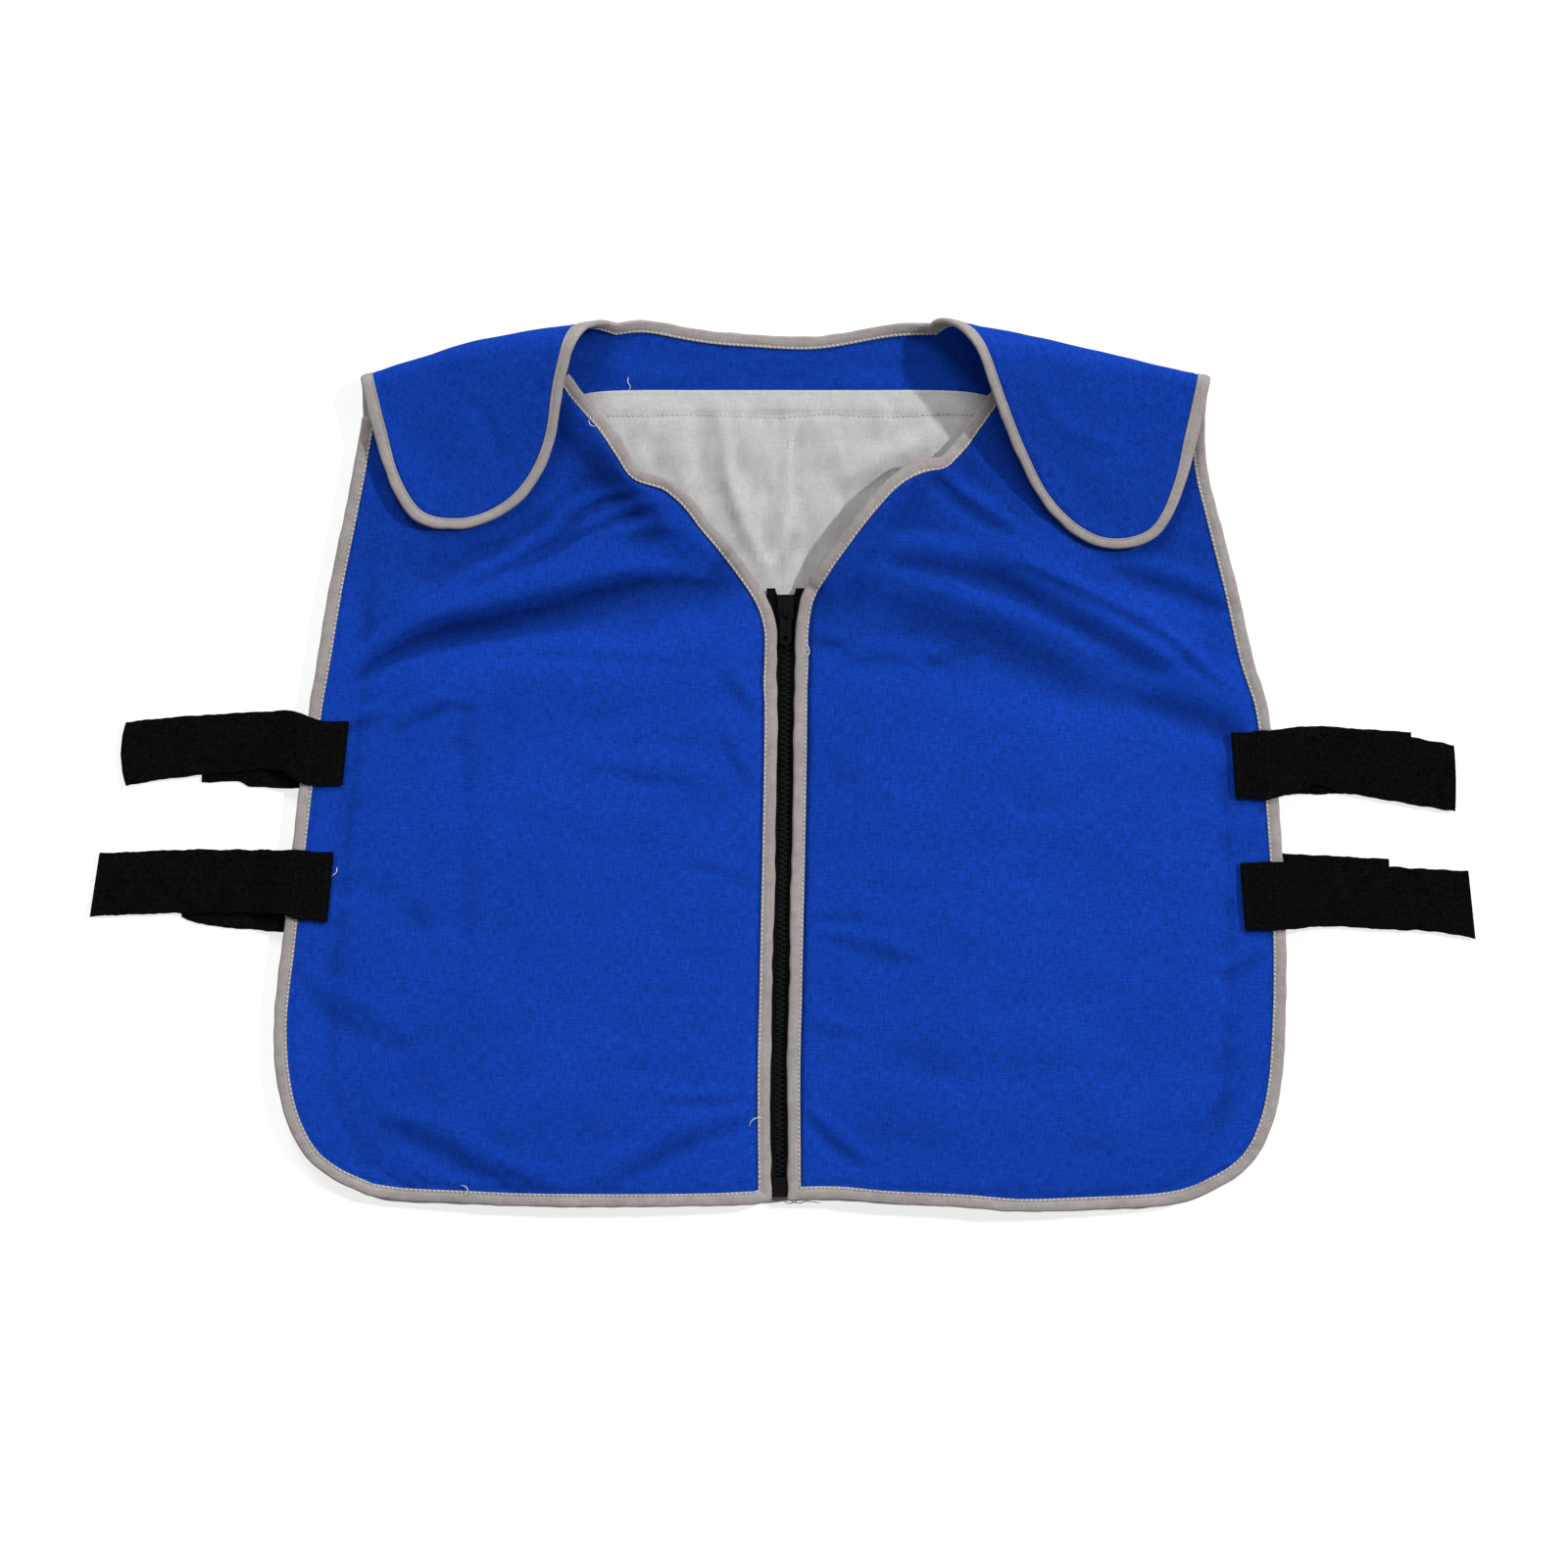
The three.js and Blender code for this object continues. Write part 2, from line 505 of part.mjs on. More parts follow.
// The back: a body below the shoulders, and one patch beyond each shoulder line.
function backSheet() {
  const spots = [];
  const heights = [];
  const numbers = new Map();
  const number = (key) => {
    if (!numbers.has(key)) numbers.set(key, numbers.size);
    return numbers.get(key);
  };
  const lastColumn = 2 * SHOULDER_COLUMNS + NECK_COLUMNS;
  const neckEnd = SHOULDER_COLUMNS + NECK_COLUMNS;
  const top = BACK_ROWS.length + 1;
  const shareOf = (j) => {
    if (j <= SHOULDER_COLUMNS) return SHOULDER_SHARE * j / SHOULDER_COLUMNS;
    if (j >= neckEnd) return 1 - SHOULDER_SHARE * (lastColumn - j) / SHOULDER_COLUMNS;
    return lerp(SHOULDER_SHARE, 1 - SHOULDER_SHARE, (j - SHOULDER_COLUMNS) / NECK_COLUMNS);
  };
  const flapTop = top + ROLL_STEPS + FLAP_ROWS.left.length;
  const sideOf = (j) => (j < lastColumn / 2 ? 'left' : 'right');
  const neck = (j) => {
    const row = BACK_NECK[j - SHOULDER_COLUMNS];
    return new THREE.Vector2(row.across * HALF_WIDTH, row.up * BODY_LENGTH);
  };
  // Edge points of the unfolded shoulder in row i, at its outer or its inner end.
  const shoulderEdge = (side, i, inner) => {
    const fold = FOLDS[side];
    const step = i - top;
    if (step <= ROLL_STEPS) {
      const share = step / ROLL_STEPS;
      const a = inner ? fold.width * lerp(CORNER_ALONG, FLAP_ROWS[side][0].innerAlong + 0.02, share) : 0;
      const radius = fold.radius(a);
      const b = lerp(inner ? radius : 0, Math.PI * radius, share);
      return fold.axis(a).addScaledVector(fold.away, b);
    }
    const row = FLAP_ROWS[side][step - ROLL_STEPS - 1];
    const a = fold.width * (inner ? row.innerAlong : row.outerAlong);
    const down = fold.length * (inner ? row.innerDown : row.outerDown);
    const beyond = down + fold.bulge(a) - fold.radius(a);
    return fold.axis(a).addScaledVector(fold.away, Math.PI * fold.radius(a) + beyond);
  };
  const outline = (i, j) => {
    if (i === 0) return hemPoint(lerp(-SIDES[0].right, SIDES[0].right, shareOf(j)), BACK_INSET / 2);
    if (i < top) return sidePoint(sideOf(j), BACK_ROWS[i - 1].side, BACK_INSET);
    if (i === top && j >= SHOULDER_COLUMNS && j <= neckEnd) return neck(j);
    const side = sideOf(j);
    const across = side === 'left' ? j / SHOULDER_COLUMNS : (lastColumn - j) / SHOULDER_COLUMNS;
    if (i < flapTop || across === 0 || across === 1) return shoulderEdge(side, i, across > 0);
    const ends = [shoulderEdge(side, i, false), shoulderEdge(side, i, true)];
    const drop = TIP_DROP * FOLDS[side].length * Math.sin(Math.PI * across);
    return ends[0].lerp(ends[1], across).addScaledVector(FOLDS[side].away, drop);
  };
  const rim = [];
  for (let j = 0; j < lastColumn; j += 1) rim.push([0, j]);
  for (let i = 0; i < flapTop; i += 1) rim.push([i, lastColumn]);
  for (let j = lastColumn; j > neckEnd; j -= 1) rim.push([flapTop, j]);
  for (let i = flapTop; i > top; i -= 1) rim.push([i, neckEnd]);
  for (let j = neckEnd; j > SHOULDER_COLUMNS; j -= 1) rim.push([top, j]);
  for (let i = top; i < flapTop; i += 1) rim.push([i, SHOULDER_COLUMNS]);
  for (let j = SHOULDER_COLUMNS; j > 0; j -= 1) rim.push([flapTop, j]);
  for (let i = flapTop; i > 0; i -= 1) rim.push([i, 0]);
  const outer = rim.map(([i, j]) => outline(i, j));
  const inner = insetLoop(outer, BINDING_WIDTH);
  const put = (i, j, spot, height) => {
    const id = number(`${i},${j}`);
    spots[id] = spot;
    heights[id] = height;
  };
  rim.forEach(([i, j], k) => put(i, j, inner[k], BACK_EDGE_Z));
  const spot = (i, j) => spots[number(`${i},${j}`)];
  for (let i = 1; i < top; i += 1) {
    for (let j = 1; j < lastColumn; j += 1) {
      const across = shareOf(j);
      const between = spot(i, 0).clone().lerp(spot(i, lastColumn), across);
      const { middle, side } = BACK_ROWS[i - 1];
      const outward = smooth((Math.abs(2 * across - 1) - 0.4) / 0.5);
      between.y = lerp(middle, side, outward) * BODY_LENGTH;
      put(i, j, between, BACK_FIELD_Z);
    }
  }
  const patches = [[0, SHOULDER_COLUMNS], [neckEnd, lastColumn]];
  for (const [from, to] of patches) {
    for (let i = top; i < flapTop; i += 1) {
      for (let j = from + 1; j < to; j += 1) {
        const share = (j - from) / (to - from);
        put(i, j, spot(i, from).clone().lerp(spot(i, to), share), BACK_EDGE_Z);
      }
    }
  }
  const block = (firstRow, endRow, firstColumn, endColumn) => {
    const cells = [];
    for (let i = firstRow; i < endRow; i += 1) {
      for (let j = firstColumn; j < endColumn; j += 1) {
        cells.push([[i, j], [i, j + 1], [i + 1, j + 1], [i + 1, j]].map((at) => number(at.join())));
      }
    }
    return cells;
  };
  const seamIds = ([from, to]) =>
    Array.from({ length: to - from + 1 }, (unused, k) => number(`${top},${from + k}`));
  const shoulder = (side, patch) => ({
    cells: block(top, flapTop, ...patch),
    seam: seamIds(patch),
    seamShift: FOLDS[side].away.clone().multiplyScalar(GAP),
  });
  const parts = {
    body: block(0, top, 0, lastColumn),
    left: shoulder('left', patches[0]),
    right: shoulder('right', patches[1]),
  };
  const loop = rim.map(([i, j]) => number(`${i},${j}`));
  const field = BACK_ROWS.map((row, i) =>
    Array.from({ length: lastColumn - 1 }, (unused, j) => spot(i + 1, j + 1)));
  return { spots, heights, parts, loop, outer, place: drapeBack, field };
}

// A flat sheet of even thickness over a grid of points.
function flatGrid(grid, z, thickness) {
  const [rows, columns] = [grid.length, grid[0].length];
  const spots = grid.flat();
  const under = spots.length;
  const points = [thickness / 2, -thickness / 2].flatMap((h) => spots.map((q) => upright(q, z, h)));
  const quads = [];
  const number = (i, j) => i * columns + j;
  for (let i = 0; i < rows - 1; i += 1) {
    for (let j = 0; j < columns - 1; j += 1) {
      const cell = [number(i, j), number(i, j + 1), number(i + 1, j + 1), number(i + 1, j)];
      quads.push(cell, cell.map((id) => id + under).reverse());
    }
  }
  const wall = (a, b) => quads.push([a, a + under, b + under, b]);
  for (let j = 0; j < columns - 1; j += 1) {
    wall(number(0, j), number(0, j + 1));
    wall(number(rows - 1, j + 1), number(rows - 1, j));
  }
  for (let i = 0; i < rows - 1; i += 1) {
    wall(number(i, columns - 1), number(i + 1, columns - 1));
    wall(number(i + 1, 0), number(i, 0));
  }
  return bodyOf(points, quads);
}

// A band: a flat section carried through a list of stations {x, y, z}, its width along Y.
function band(stations, width, thickness) {
  const corners = [[-1, -1], [1, -1], [1, 1], [-1, 1]];
  const points = stations.flatMap(({ x, y, z }) =>
    corners.map(([v, h]) => new THREE.Vector3(x, y + v * width / 2, z + h * thickness / 2)));
  const quads = [[3, 2, 1, 0]];
  for (let k = 0; k < stations.length - 1; k += 1) {
    for (let c = 0; c < 4; c += 1) {
      const next = (c + 1) % 4;
      quads.push([4 * k + c, 4 * k + next, 4 * k + 4 + next, 4 * k + 4 + c]);
    }
  }
  const end = 4 * (stations.length - 1);
  quads.push([end, end + 1, end + 2, end + 3]);
  if (stations[0].x > stations[stations.length - 1].x) quads.forEach((quad) => quad.reverse());
  return bodyOf(points, quads);
}

// The stations of a side strap: sewn on at height high, down a ramp, then lying at height low.
function strapStations({ sign, edge, tip, reach }, high, low) {
  const edgeX = sidePoint(sign < 0 ? 'left' : 'right', edge).x;
  const end = reach * STRAP_REACH;
  const run = [
    { out: -STRAP_SEWN, z: high },
    { out: STRAP_CLEAR, z: high },
    { out: STRAP_CLEAR + STRAP_RAMP / 3, z: lerp(high, low, 0.26) },
    { out: STRAP_CLEAR + 2 * STRAP_RAMP / 3, z: lerp(high, low, 0.74) },
    { out: STRAP_CLEAR + STRAP_RAMP, z: low },
    { out: end, z: low },
  ];
  return run.map(({ out, z }) => {
    const share = Math.max(0, out) / end;
    return { x: edgeX + sign * out, y: lerp(edge, tip, share) * BODY_LENGTH, z };
  });
}

const sideStrap = (strap, high, low) => band(strapStations(strap, high, low), STRAP_WIDTH, STRAP);

// Zip tape beside the chain: inner and outer edge as distances from the middle line. Its loose
// top end turns outwards past the slider.
function zipTape(sign) {
  const beside = CHAIN_WIDTH / 2 + GAP;
  const besideBox = BOX_WIDTH / 2 + GAP;
  const outer = ZIP_HALF_GAP + TAPE_UNDER_PANEL;
  const boxTop = ZIP_BOTTOM_Y + BOX_LENGTH;
  const sliderTop = SLIDER_Y + SLIDER_LENGTH / 2;
  const rows = [
    { y: ZIP_BOTTOM_Y, inner: besideBox, outer },
    { y: boxTop + GAP, inner: besideBox, outer },
    { y: boxTop + 4 * GAP, inner: beside, outer },
    { y: 0.1 * BODY_LENGTH, inner: beside, outer },
    { y: 0.2 * BODY_LENGTH, inner: beside, outer },
    { y: 0.35 * BODY_LENGTH, inner: beside, outer },
    { y: 0.53 * BODY_LENGTH, inner: beside, outer },
    { y: 0.62 * BODY_LENGTH, inner: beside, outer },
    { y: SLIDER_Y, inner: beside, outer: outer - 0.2 * TAPE_FLARE },
    { y: sliderTop, inner: beside + 0.3 * TAPE_FLARE, outer: outer - 0.3 * TAPE_FLARE },
    { y: sliderTop + TAPE_TAIL, inner: beside + TAPE_FLARE, outer: outer - 0.2 * TAPE_FLARE },
  ];
  const grid = rows.map((row) => {
    const ends = [row.inner, row.outer].map((out) =>
      new THREE.Vector2(zipX(row.y / BODY_LENGTH) + sign * out, row.y));
    return sign < 0 ? ends.reverse() : ends;
  });
  return flatGrid(grid, TAPE_Z, TAPE);
}

// The closed rows of teeth as one bar along the zip, up into the slider.
function zipChain() {
  const from = ZIP_BOTTOM_Y + BOX_LENGTH + GAP;
  const to = SLIDER_Y - SLIDER_LENGTH / 2 + CHAIN_IN_SLIDER;
  const steps = [0, 0.12, 0.25, 0.4, 0.55, 0.75, 1];
  const grid = steps.map((share) => {
    const y = lerp(from, to, share);
    const x = zipX(y / BODY_LENGTH);
    return [new THREE.Vector2(x - CHAIN_WIDTH / 2, y), new THREE.Vector2(x + CHAIN_WIDTH / 2, y)];
  });
  return flatGrid(grid, TAPE_Z, CHAIN_HEIGHT);
}

const solidOf = (geometry) => {
  const bare = geometry.clone();
  bare.deleteAttribute('normal');
  bare.deleteAttribute('uv');
  const merged = mergeVertices(bare.index ? bare : mergeVertices(bare), 1e-4);
  const vertProperties = new Float32Array(merged.attributes.position.array);
  const triVerts = new Uint32Array(merged.index.array);
  return new wasm.Manifold(new wasm.Mesh({ numProp: 3, vertProperties, triVerts }));
};
const geometryOf = (solid) => {
  const mesh = solid.getMesh();
  const geometry = new THREE.BufferGeometry();
  geometry.setAttribute('position', new THREE.BufferAttribute(mesh.vertProperties, 3));
  geometry.setIndex(new THREE.BufferAttribute(mesh.triVerts, 1));
  geometry.computeVertexNormals();
  return geometry;
};
const boxAt = (x, y, z, wide, long, high) => new THREE.BoxGeometry(wide, long, high).translate(x, y, z);

// Slider: two plates joined by a neck at the upper end, and an arch on top for the pull.
const PULL_Y = SLIDER_Y - SLIDER_LENGTH / 2 + PULL_SEAT;
function zipSlider() {
  const x = zipX(SLIDER_Y / BODY_LENGTH);
  const plateZ = SLIDER_INNER + SLIDER_PLATE / 2;
  const neckLength = SLIDER_LENGTH - CHAIN_IN_SLIDER - GAP;
  const neckY = SLIDER_Y + (SLIDER_LENGTH - neckLength) / 2;
  const sideways = PULL_THICK / 2 + PULL_PLAY + ARCH_BAR / 2;
  const archTop = PULL_Z + sideways + ARCH_BAR / 2;
  const footHigh = archTop - SLIDER_TOP_Z + SLIDER_PLATE / 2;
  const footZ = archTop - footHigh / 2;
  const pieces = [
    boxAt(x, SLIDER_Y, TAPE_Z + plateZ, SLIDER_WIDTH, SLIDER_LENGTH, SLIDER_PLATE),
    boxAt(x, SLIDER_Y, TAPE_Z - plateZ, SLIDER_WIDTH, SLIDER_LENGTH, SLIDER_PLATE),
    boxAt(x, neckY, TAPE_Z, SLIDER_NECK, neckLength, 2 * plateZ),
    boxAt(x, PULL_Y - sideways, footZ, ARCH_WIDTH, ARCH_BAR, footHigh),
    boxAt(x, PULL_Y + sideways, footZ, ARCH_WIDTH, ARCH_BAR, footHigh),
    boxAt(x, PULL_Y, archTop - ARCH_BAR / 2, ARCH_WIDTH, 2 * sideways + ARCH_BAR, ARCH_BAR),
  ];
  return geometryOf(pieces.map(solidOf).reduce((whole, piece) => whole.add(piece)));
}

// Pull tab: a rounded plate with a window round the arch and a round hole near its free end.
function zipPull() {
  const half = PULL_WIDTH / 2;
  const bar = PULL_THICK / 2;
  const windowHalf = ARCH_WIDTH / 2 + PULL_PLAY;
  const outline = new THREE.Shape();
  outline.moveTo(-half, bar);
  outline.lineTo(-half, half - PULL_LENGTH);
  outline.absarc(0, half - PULL_LENGTH, half, Math.PI, 2 * Math.PI, false);
  outline.lineTo(half, bar);
  outline.closePath();
  const opening = new THREE.Path();
  opening.moveTo(-windowHalf, -bar);
  opening.lineTo(windowHalf, -bar);
  opening.lineTo(windowHalf, -PULL_WINDOW);
  opening.lineTo(-windowHalf, -PULL_WINDOW);
  opening.closePath();
  const hole = new THREE.Path();
  hole.absarc(0, half - PULL_LENGTH + PULL_HOLE_IN, PULL_HOLE, 0, 2 * Math.PI, true);
  outline.holes.push(opening, hole);
  const settings = { depth: PULL_THICK, bevelEnabled: false, curveSegments: 8 };
  const plate = new THREE.ExtrudeGeometry(outline, settings);
  return plate.translate(zipX(SLIDER_Y / BODY_LENGTH), PULL_Y, PULL_Z - PULL_THICK / 2);
}

// Colours
const blue = { color: 0x1640a6, roughness: 0.9 };
const grey = { color: 0x9e9896, roughness: 0.9 };
const pale = { color: 0xbababa, roughness: 0.8 };
const black = { color: 0x111214, roughness: 0.75 };
const plastic = { color: 0x141518, roughness: 0.45 };

const vest = new THREE.Group();
function addMesh(name, geometry, finish) {
  const mesh = new THREE.Mesh(geometry, new THREE.MeshStandardMaterial({ metalness: 0, ...finish }));
  mesh.name = name;
  vest.add(mesh);
}

const back = backSheet();
addMesh('back_panel', clothSheet(back, back.parts.body), blue);
addMesh('back_binding', bindingRound(back), grey);
addMesh('back_lining', flatGrid(back.field, CLOTH + GAP + LINING / 2, LINING), pale);
for (const side of ['left', 'right']) {
  const { cells, seam, seamShift } = back.parts[side];
  addMesh(`shoulder_flap_${side}`, clothSheet(back, cells, seam, seamShift), blue);
  const front = frontSheet(side);
  addMesh(`front_panel_${side}`, clothSheet(front), blue);
  addMesh(`front_binding_${side}`, bindingRound(front), grey);
  addMesh(`zip_tape_${side}`, zipTape(FLAPS[side].sign), black);
}
for (const strap of FRONT_STRAPS) {
  addMesh(`strap_front_${strap.name}`, sideStrap(strap, FRONT_STRAP_Z, 1.5 * STRAP + GAP), black);
}
for (const strap of BACK_STRAPS) {
  addMesh(`strap_back_${strap.name}`, sideStrap(strap, BACK_STRAP_Z, STRAP / 2), black);
}
addMesh('zip_chain', zipChain(), plastic);
addMesh('zip_slider', zipSlider(), plastic);
addMesh('zip_pull', zipPull(), plastic);
const boxY = ZIP_BOTTOM_Y + BOX_LENGTH / 2;
const boxX = zipX(boxY / BODY_LENGTH);
addMesh('zip_box', boxAt(boxX, boxY, TAPE_Z, BOX_WIDTH, BOX_LENGTH, BOX_HEIGHT), plastic);

// The origin is on the floor, under the middle of the whole vest.
const extent = new THREE.Box3().setFromObject(vest);
const middle = extent.getCenter(new THREE.Vector3());
vest.position.set(-middle.x, -middle.y, -extent.min.z);
vest.updateMatrixWorld(true);

export default vest;
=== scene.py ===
"""A padded cotton cooling vest, lying zipped on its back with its shoulder flaps folded forward.

Lengths below are millimetres in the flat cut: x runs across from the zip, y up from the hem and
z up from the floor. to_frame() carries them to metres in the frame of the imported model.
"""

import math

import bpy
import numpy as np
from bpy.props import FloatProperty, FloatVectorProperty, IntProperty, PointerProperty
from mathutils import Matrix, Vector


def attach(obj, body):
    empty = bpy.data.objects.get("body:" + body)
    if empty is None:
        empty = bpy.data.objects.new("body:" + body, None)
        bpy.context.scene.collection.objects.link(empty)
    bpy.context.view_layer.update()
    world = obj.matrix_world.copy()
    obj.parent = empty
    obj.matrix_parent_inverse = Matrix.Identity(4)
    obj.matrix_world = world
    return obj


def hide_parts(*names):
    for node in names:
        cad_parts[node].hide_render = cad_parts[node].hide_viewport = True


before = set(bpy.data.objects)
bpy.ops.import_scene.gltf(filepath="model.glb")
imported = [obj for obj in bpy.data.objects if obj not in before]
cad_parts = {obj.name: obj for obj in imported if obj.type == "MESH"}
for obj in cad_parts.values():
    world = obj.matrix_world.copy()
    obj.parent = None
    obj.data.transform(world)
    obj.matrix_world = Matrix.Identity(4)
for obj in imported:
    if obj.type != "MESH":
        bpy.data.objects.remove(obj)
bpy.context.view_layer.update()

bl_info = {
    "name": "Cooling vest",
    "version": (1, 0, 0),
    "blender": (4, 5, 0),
    "location": "3D View > Sidebar > Vest",
    "description": "Cloth, bindings, straps, zip and studio of a padded cooling vest",
    "category": "Object",
}

# Sizes of the cut, as the solids have them
HALF_WIDTH = 310.0
BODY_LENGTH = 540.0
BACK_INSET = 1.5
CLOTH = 1.5
LINING = 1.0
BINDING = 0.9
BINDING_WIDTH = 9.0
GAP = 0.3
STRAP = 1.6
STRAP_RAMP = 24.0
STRAP_CLEAR = 2.0
ZIP_HALF_GAP = 5.1
ZIP_LIFT = 2.0
TAPE = 0.8
TAPE_UNDER_PANEL = 7.0
CHAIN_WIDTH = 6.0
CHAIN_HEIGHT = 2.4
SLIDER_LENGTH = 15.0
BOX_LENGTH = 12.0
PUFF = 11.0
CREASE = 4.0
FLAP_CLEARANCE = 4.0
NECK_FADE = 60.0
ROLL_STEPS = 5
# Share of the way into its binding that a sheet runs on, and the step along a binding
TUCK = 0.6
EDGE_STEP = 1.9
# Cells of a grid between two rows or columns of the back's cut
BODY_PARTS = 14
FLAP_PARTS = 7
COLUMN_PARTS = 10
# The back's wide waves and its puckers are made above YOKE_Y only, as the lining and the fronts
# cover the rest. Painted shade, for the shading of the shoulders and the upper chest, darkens the
# back from the second height below on, and a front from the third.
YOKE_Y = 455.0
BACK_SHADE_Y = 470.0
CHEST_SHADE_Y = 330.0
# From FLAP_Y on the back's binding is narrower by this share, as it is seen tilted
FLAP_Y = 548.0
FLAP_BINDING_LOSS = 0.2
# How far from the binding's inner edge a stitch starts and ends
STITCH_FROM = 1.0
STITCH_TO = 2.7
# Width and height of a stitch
BINDING_STITCH = (0.85, 0.6)
LINING_STITCH = (0.6, 0.45)
STRAP_STITCH = (0.6, 0.4)
# A strap's stitches: from one to the next, their length, how far inside the strap's sides they
# run, and how far inside the edge of the vest their row turns back
STRAP_PITCH = 2.6
STRAP_STITCH_LENGTH = 1.8
STRAP_MARGIN = 3
STRAP_ROW_END = 4.0
# Roundness of a strap's profile and of a tooth: 1 is fully round, and near 0 is a box
STRAP_ROUND = 0.35
TOOTH_ROUND = 0.45
# A tooth runs from its root, on its own side of the zip's line, to its tip past that line
TOOTH_ROOT = 3.1
TOOTH_TIP = 0.9
TOOTH_WIDTH = 1.75
# The film at the foot of the tapes: its sides, its upper end and its thickness
FILM_INNER = 3.3
FILM_OUTER = 8.0
FILM_TOP = 29.0
FILM = 0.3
# The tapes spread by this much over this length above the slider
FLARE = 4.4
FLARE_LENGTH = 11.5
# Rows and columns of a front's coarse grid, and cells between two of them
FRONT_UP = 51
FRONT_ACROSS = 28
FRONT_PARTS = 5
# Cells of the lining's grid between two rows, two of the upper rows, and two columns
LINING_PARTS = 8
LINING_TOP_PARTS = 24
LINING_COLUMN_PARTS = 9
# Studio, in metres: how far the floor reaches, how far it lies under the vest, where the camera
# stands and how wide it sees; and the strength of the floor's own glow and of the sky
FLOOR_REACH = 6.0
FLOOR_DROP = 0.0002
CAMERA_AT = (0.0019, -0.0118, 4.5)
VIEW_WIDTH = 0.96
FLOOR_GLOW = 0.74
SKY = 0.3
ORIGIN = np.array([2.8, -269.764, 0.0])

# Heights that the layers stack up to
BOUND = CLOTH / 2 + GAP + BINDING
BACK_FIELD_Z = CLOTH / 2
BACK_EDGE_Z = BOUND
BACK_STRAP_Z = BACK_EDGE_Z + BOUND + GAP + STRAP / 2
FRONT_EDGE_Z = BACK_STRAP_Z + STRAP / 2 + GAP + BOUND
FRONT_ZIP_Z = FRONT_EDGE_Z + ZIP_LIFT
FRONT_STRAP_Z = FRONT_EDGE_Z + BOUND + GAP + STRAP / 2
FLAP_REST_Z = FRONT_EDGE_Z + 2 * BOUND + GAP + FLAP_CLEARANCE
TAPE_Z = FRONT_ZIP_Z - BOUND - GAP - TAPE / 2
LINING_Z = CLOTH + GAP + LINING / 2
# Half the room inside a folded binding
SLEEVE = CLOTH / 2 + 0.08
SLIDER_Y = 0.678 * BODY_LENGTH
ZIP_BOTTOM_Y = 0.0105 * BODY_LENGTH


def table(columns, *rows):
    """Rows of numbers as one array for each named column."""
    values = np.array(rows, float).T
    return dict(zip(columns.split(), values))


SIDES = table(
    "up left right",
    (0.011, -0.82, 0.82), (0.033, -0.901, 0.891), (0.061, -0.953, 0.936), (0.117, -0.994, 0.971),
    (0.2, -1.009, 0.985), (0.3, -0.992, 0.987), (0.42, -0.969, 0.977), (0.56, -0.94, 0.953),
    (0.62, -0.922, 0.921), (0.7, -0.899, 0.89), (0.78, -0.871, 0.855), (0.84, -0.851, 0.831),
    (0.9, -0.834, 0.828), (0.95, -0.837, 0.837),
)
HEM = table(
    "across up",
    (-0.82, 0.011), (-0.757, 0.006), (-0.64, 0.003), (-0.5, 0.0), (-0.17, 0.0), (-0.05, 0.003),
    (0.02, 0.007), (0.1, 0.008), (0.2, 0.003), (0.35, -0.001), (0.46, -0.006), (0.6, -0.004),
    (0.74, 0.0), (0.82, 0.009),
)
NECKLINE = table(
    "up left right",
    (0.65, 0, 0), (0.656, -0.0015, 0.0015), (0.68, -0.012, 0.008), (0.71, -0.043, 0.033),
    (0.745, -0.088, 0.074), (0.78, -0.139, 0.119), (0.806, -0.175, 0.157), (0.822, -0.222, 0.184),
    (0.835, -0.264, 0.216), (0.845, -0.281, 0.256), (0.86, -0.3, 0.307), (0.888, -0.333, 0.347),
    (0.92, -0.382, 0.386), (0.95, -0.419, 0.424),
)
ZIP_LINE = table(
    "up across",
    (0, -0.012), (0.03, -0.012), (0.15, -0.013), (0.26, -0.009), (0.53, 0.0), (0.72, 0.0),
)
BACK_NECK = table(
    "across up",
    (-0.332, 1.003), (-0.29, 1.007), (-0.235, 1.0), (-0.15, 0.991), (-0.05, 0.987),
    (0.05, 0.984), (0.13, 0.991), (0.21, 1.0), (0.287, 1.004),
)
FRONT_ROWS = {
    "left": table(
        "side front crown crease",
        (0.011, 0.007, 0.5, 0), (0.033, 0.045, 0.6, 0), (0.061, 0.08, 0.7, 0),
        (0.117, 0.125, 0.8, 0.3), (0.2, 0.2, 0.9, 0), (0.3, 0.29, 1, 0), (0.38, 0.38, 1, 0),
        (0.46, 0.47, 1, 0), (0.53, 0.56, 0.95, 0), (0.585, 0.64, 0.9, 0.4), (0.624, 0.71, 0.8, -1),
        (0.655, 0.765, 0.75, 0.8), (0.7, 0.81, 0.4, 0), (0.76, 0.837, 0.25, 0),
        (0.82, 0.875, 0.15, 0), (0.86, 0.91, 0.12, 0), (0.893, 0.942, 0.1, 0),
    ),
    "right": table(
        "side front crown crease",
        (0.011, 0.007, 0.5, 0), (0.033, 0.045, 0.6, 0), (0.061, 0.08, 0.7, 0),
        (0.117, 0.125, 0.8, 0.3), (0.2, 0.2, 0.9, 0), (0.28, 0.29, 1, 0), (0.36, 0.38, 1, 0),
        (0.44, 0.47, 1, 0), (0.51, 0.58, 0.95, 0.3), (0.545, 0.7, 0.85, -1),
        (0.58, 0.755, 0.8, 1), (0.625, 0.8, 0.6, -0.3), (0.69, 0.83, 0.3, 0.2),
        (0.76, 0.85, 0.22, 0), (0.82, 0.88, 0.15, 0), (0.86, 0.91, 0.12, 0), (0.893, 0.942, 0.1, 0),
    ),
}
FRONT_MARGIN = 0.1
FRONT_WIDTH = 260.0
BACK_ROWS = table(
    "middle side",
    (0.061, 0.061), (0.13, 0.13), (0.25, 0.25), (0.42, 0.42), (0.58, 0.58), (0.72, 0.72),
    (0.84, 0.82), (0.924, 0.87),
)
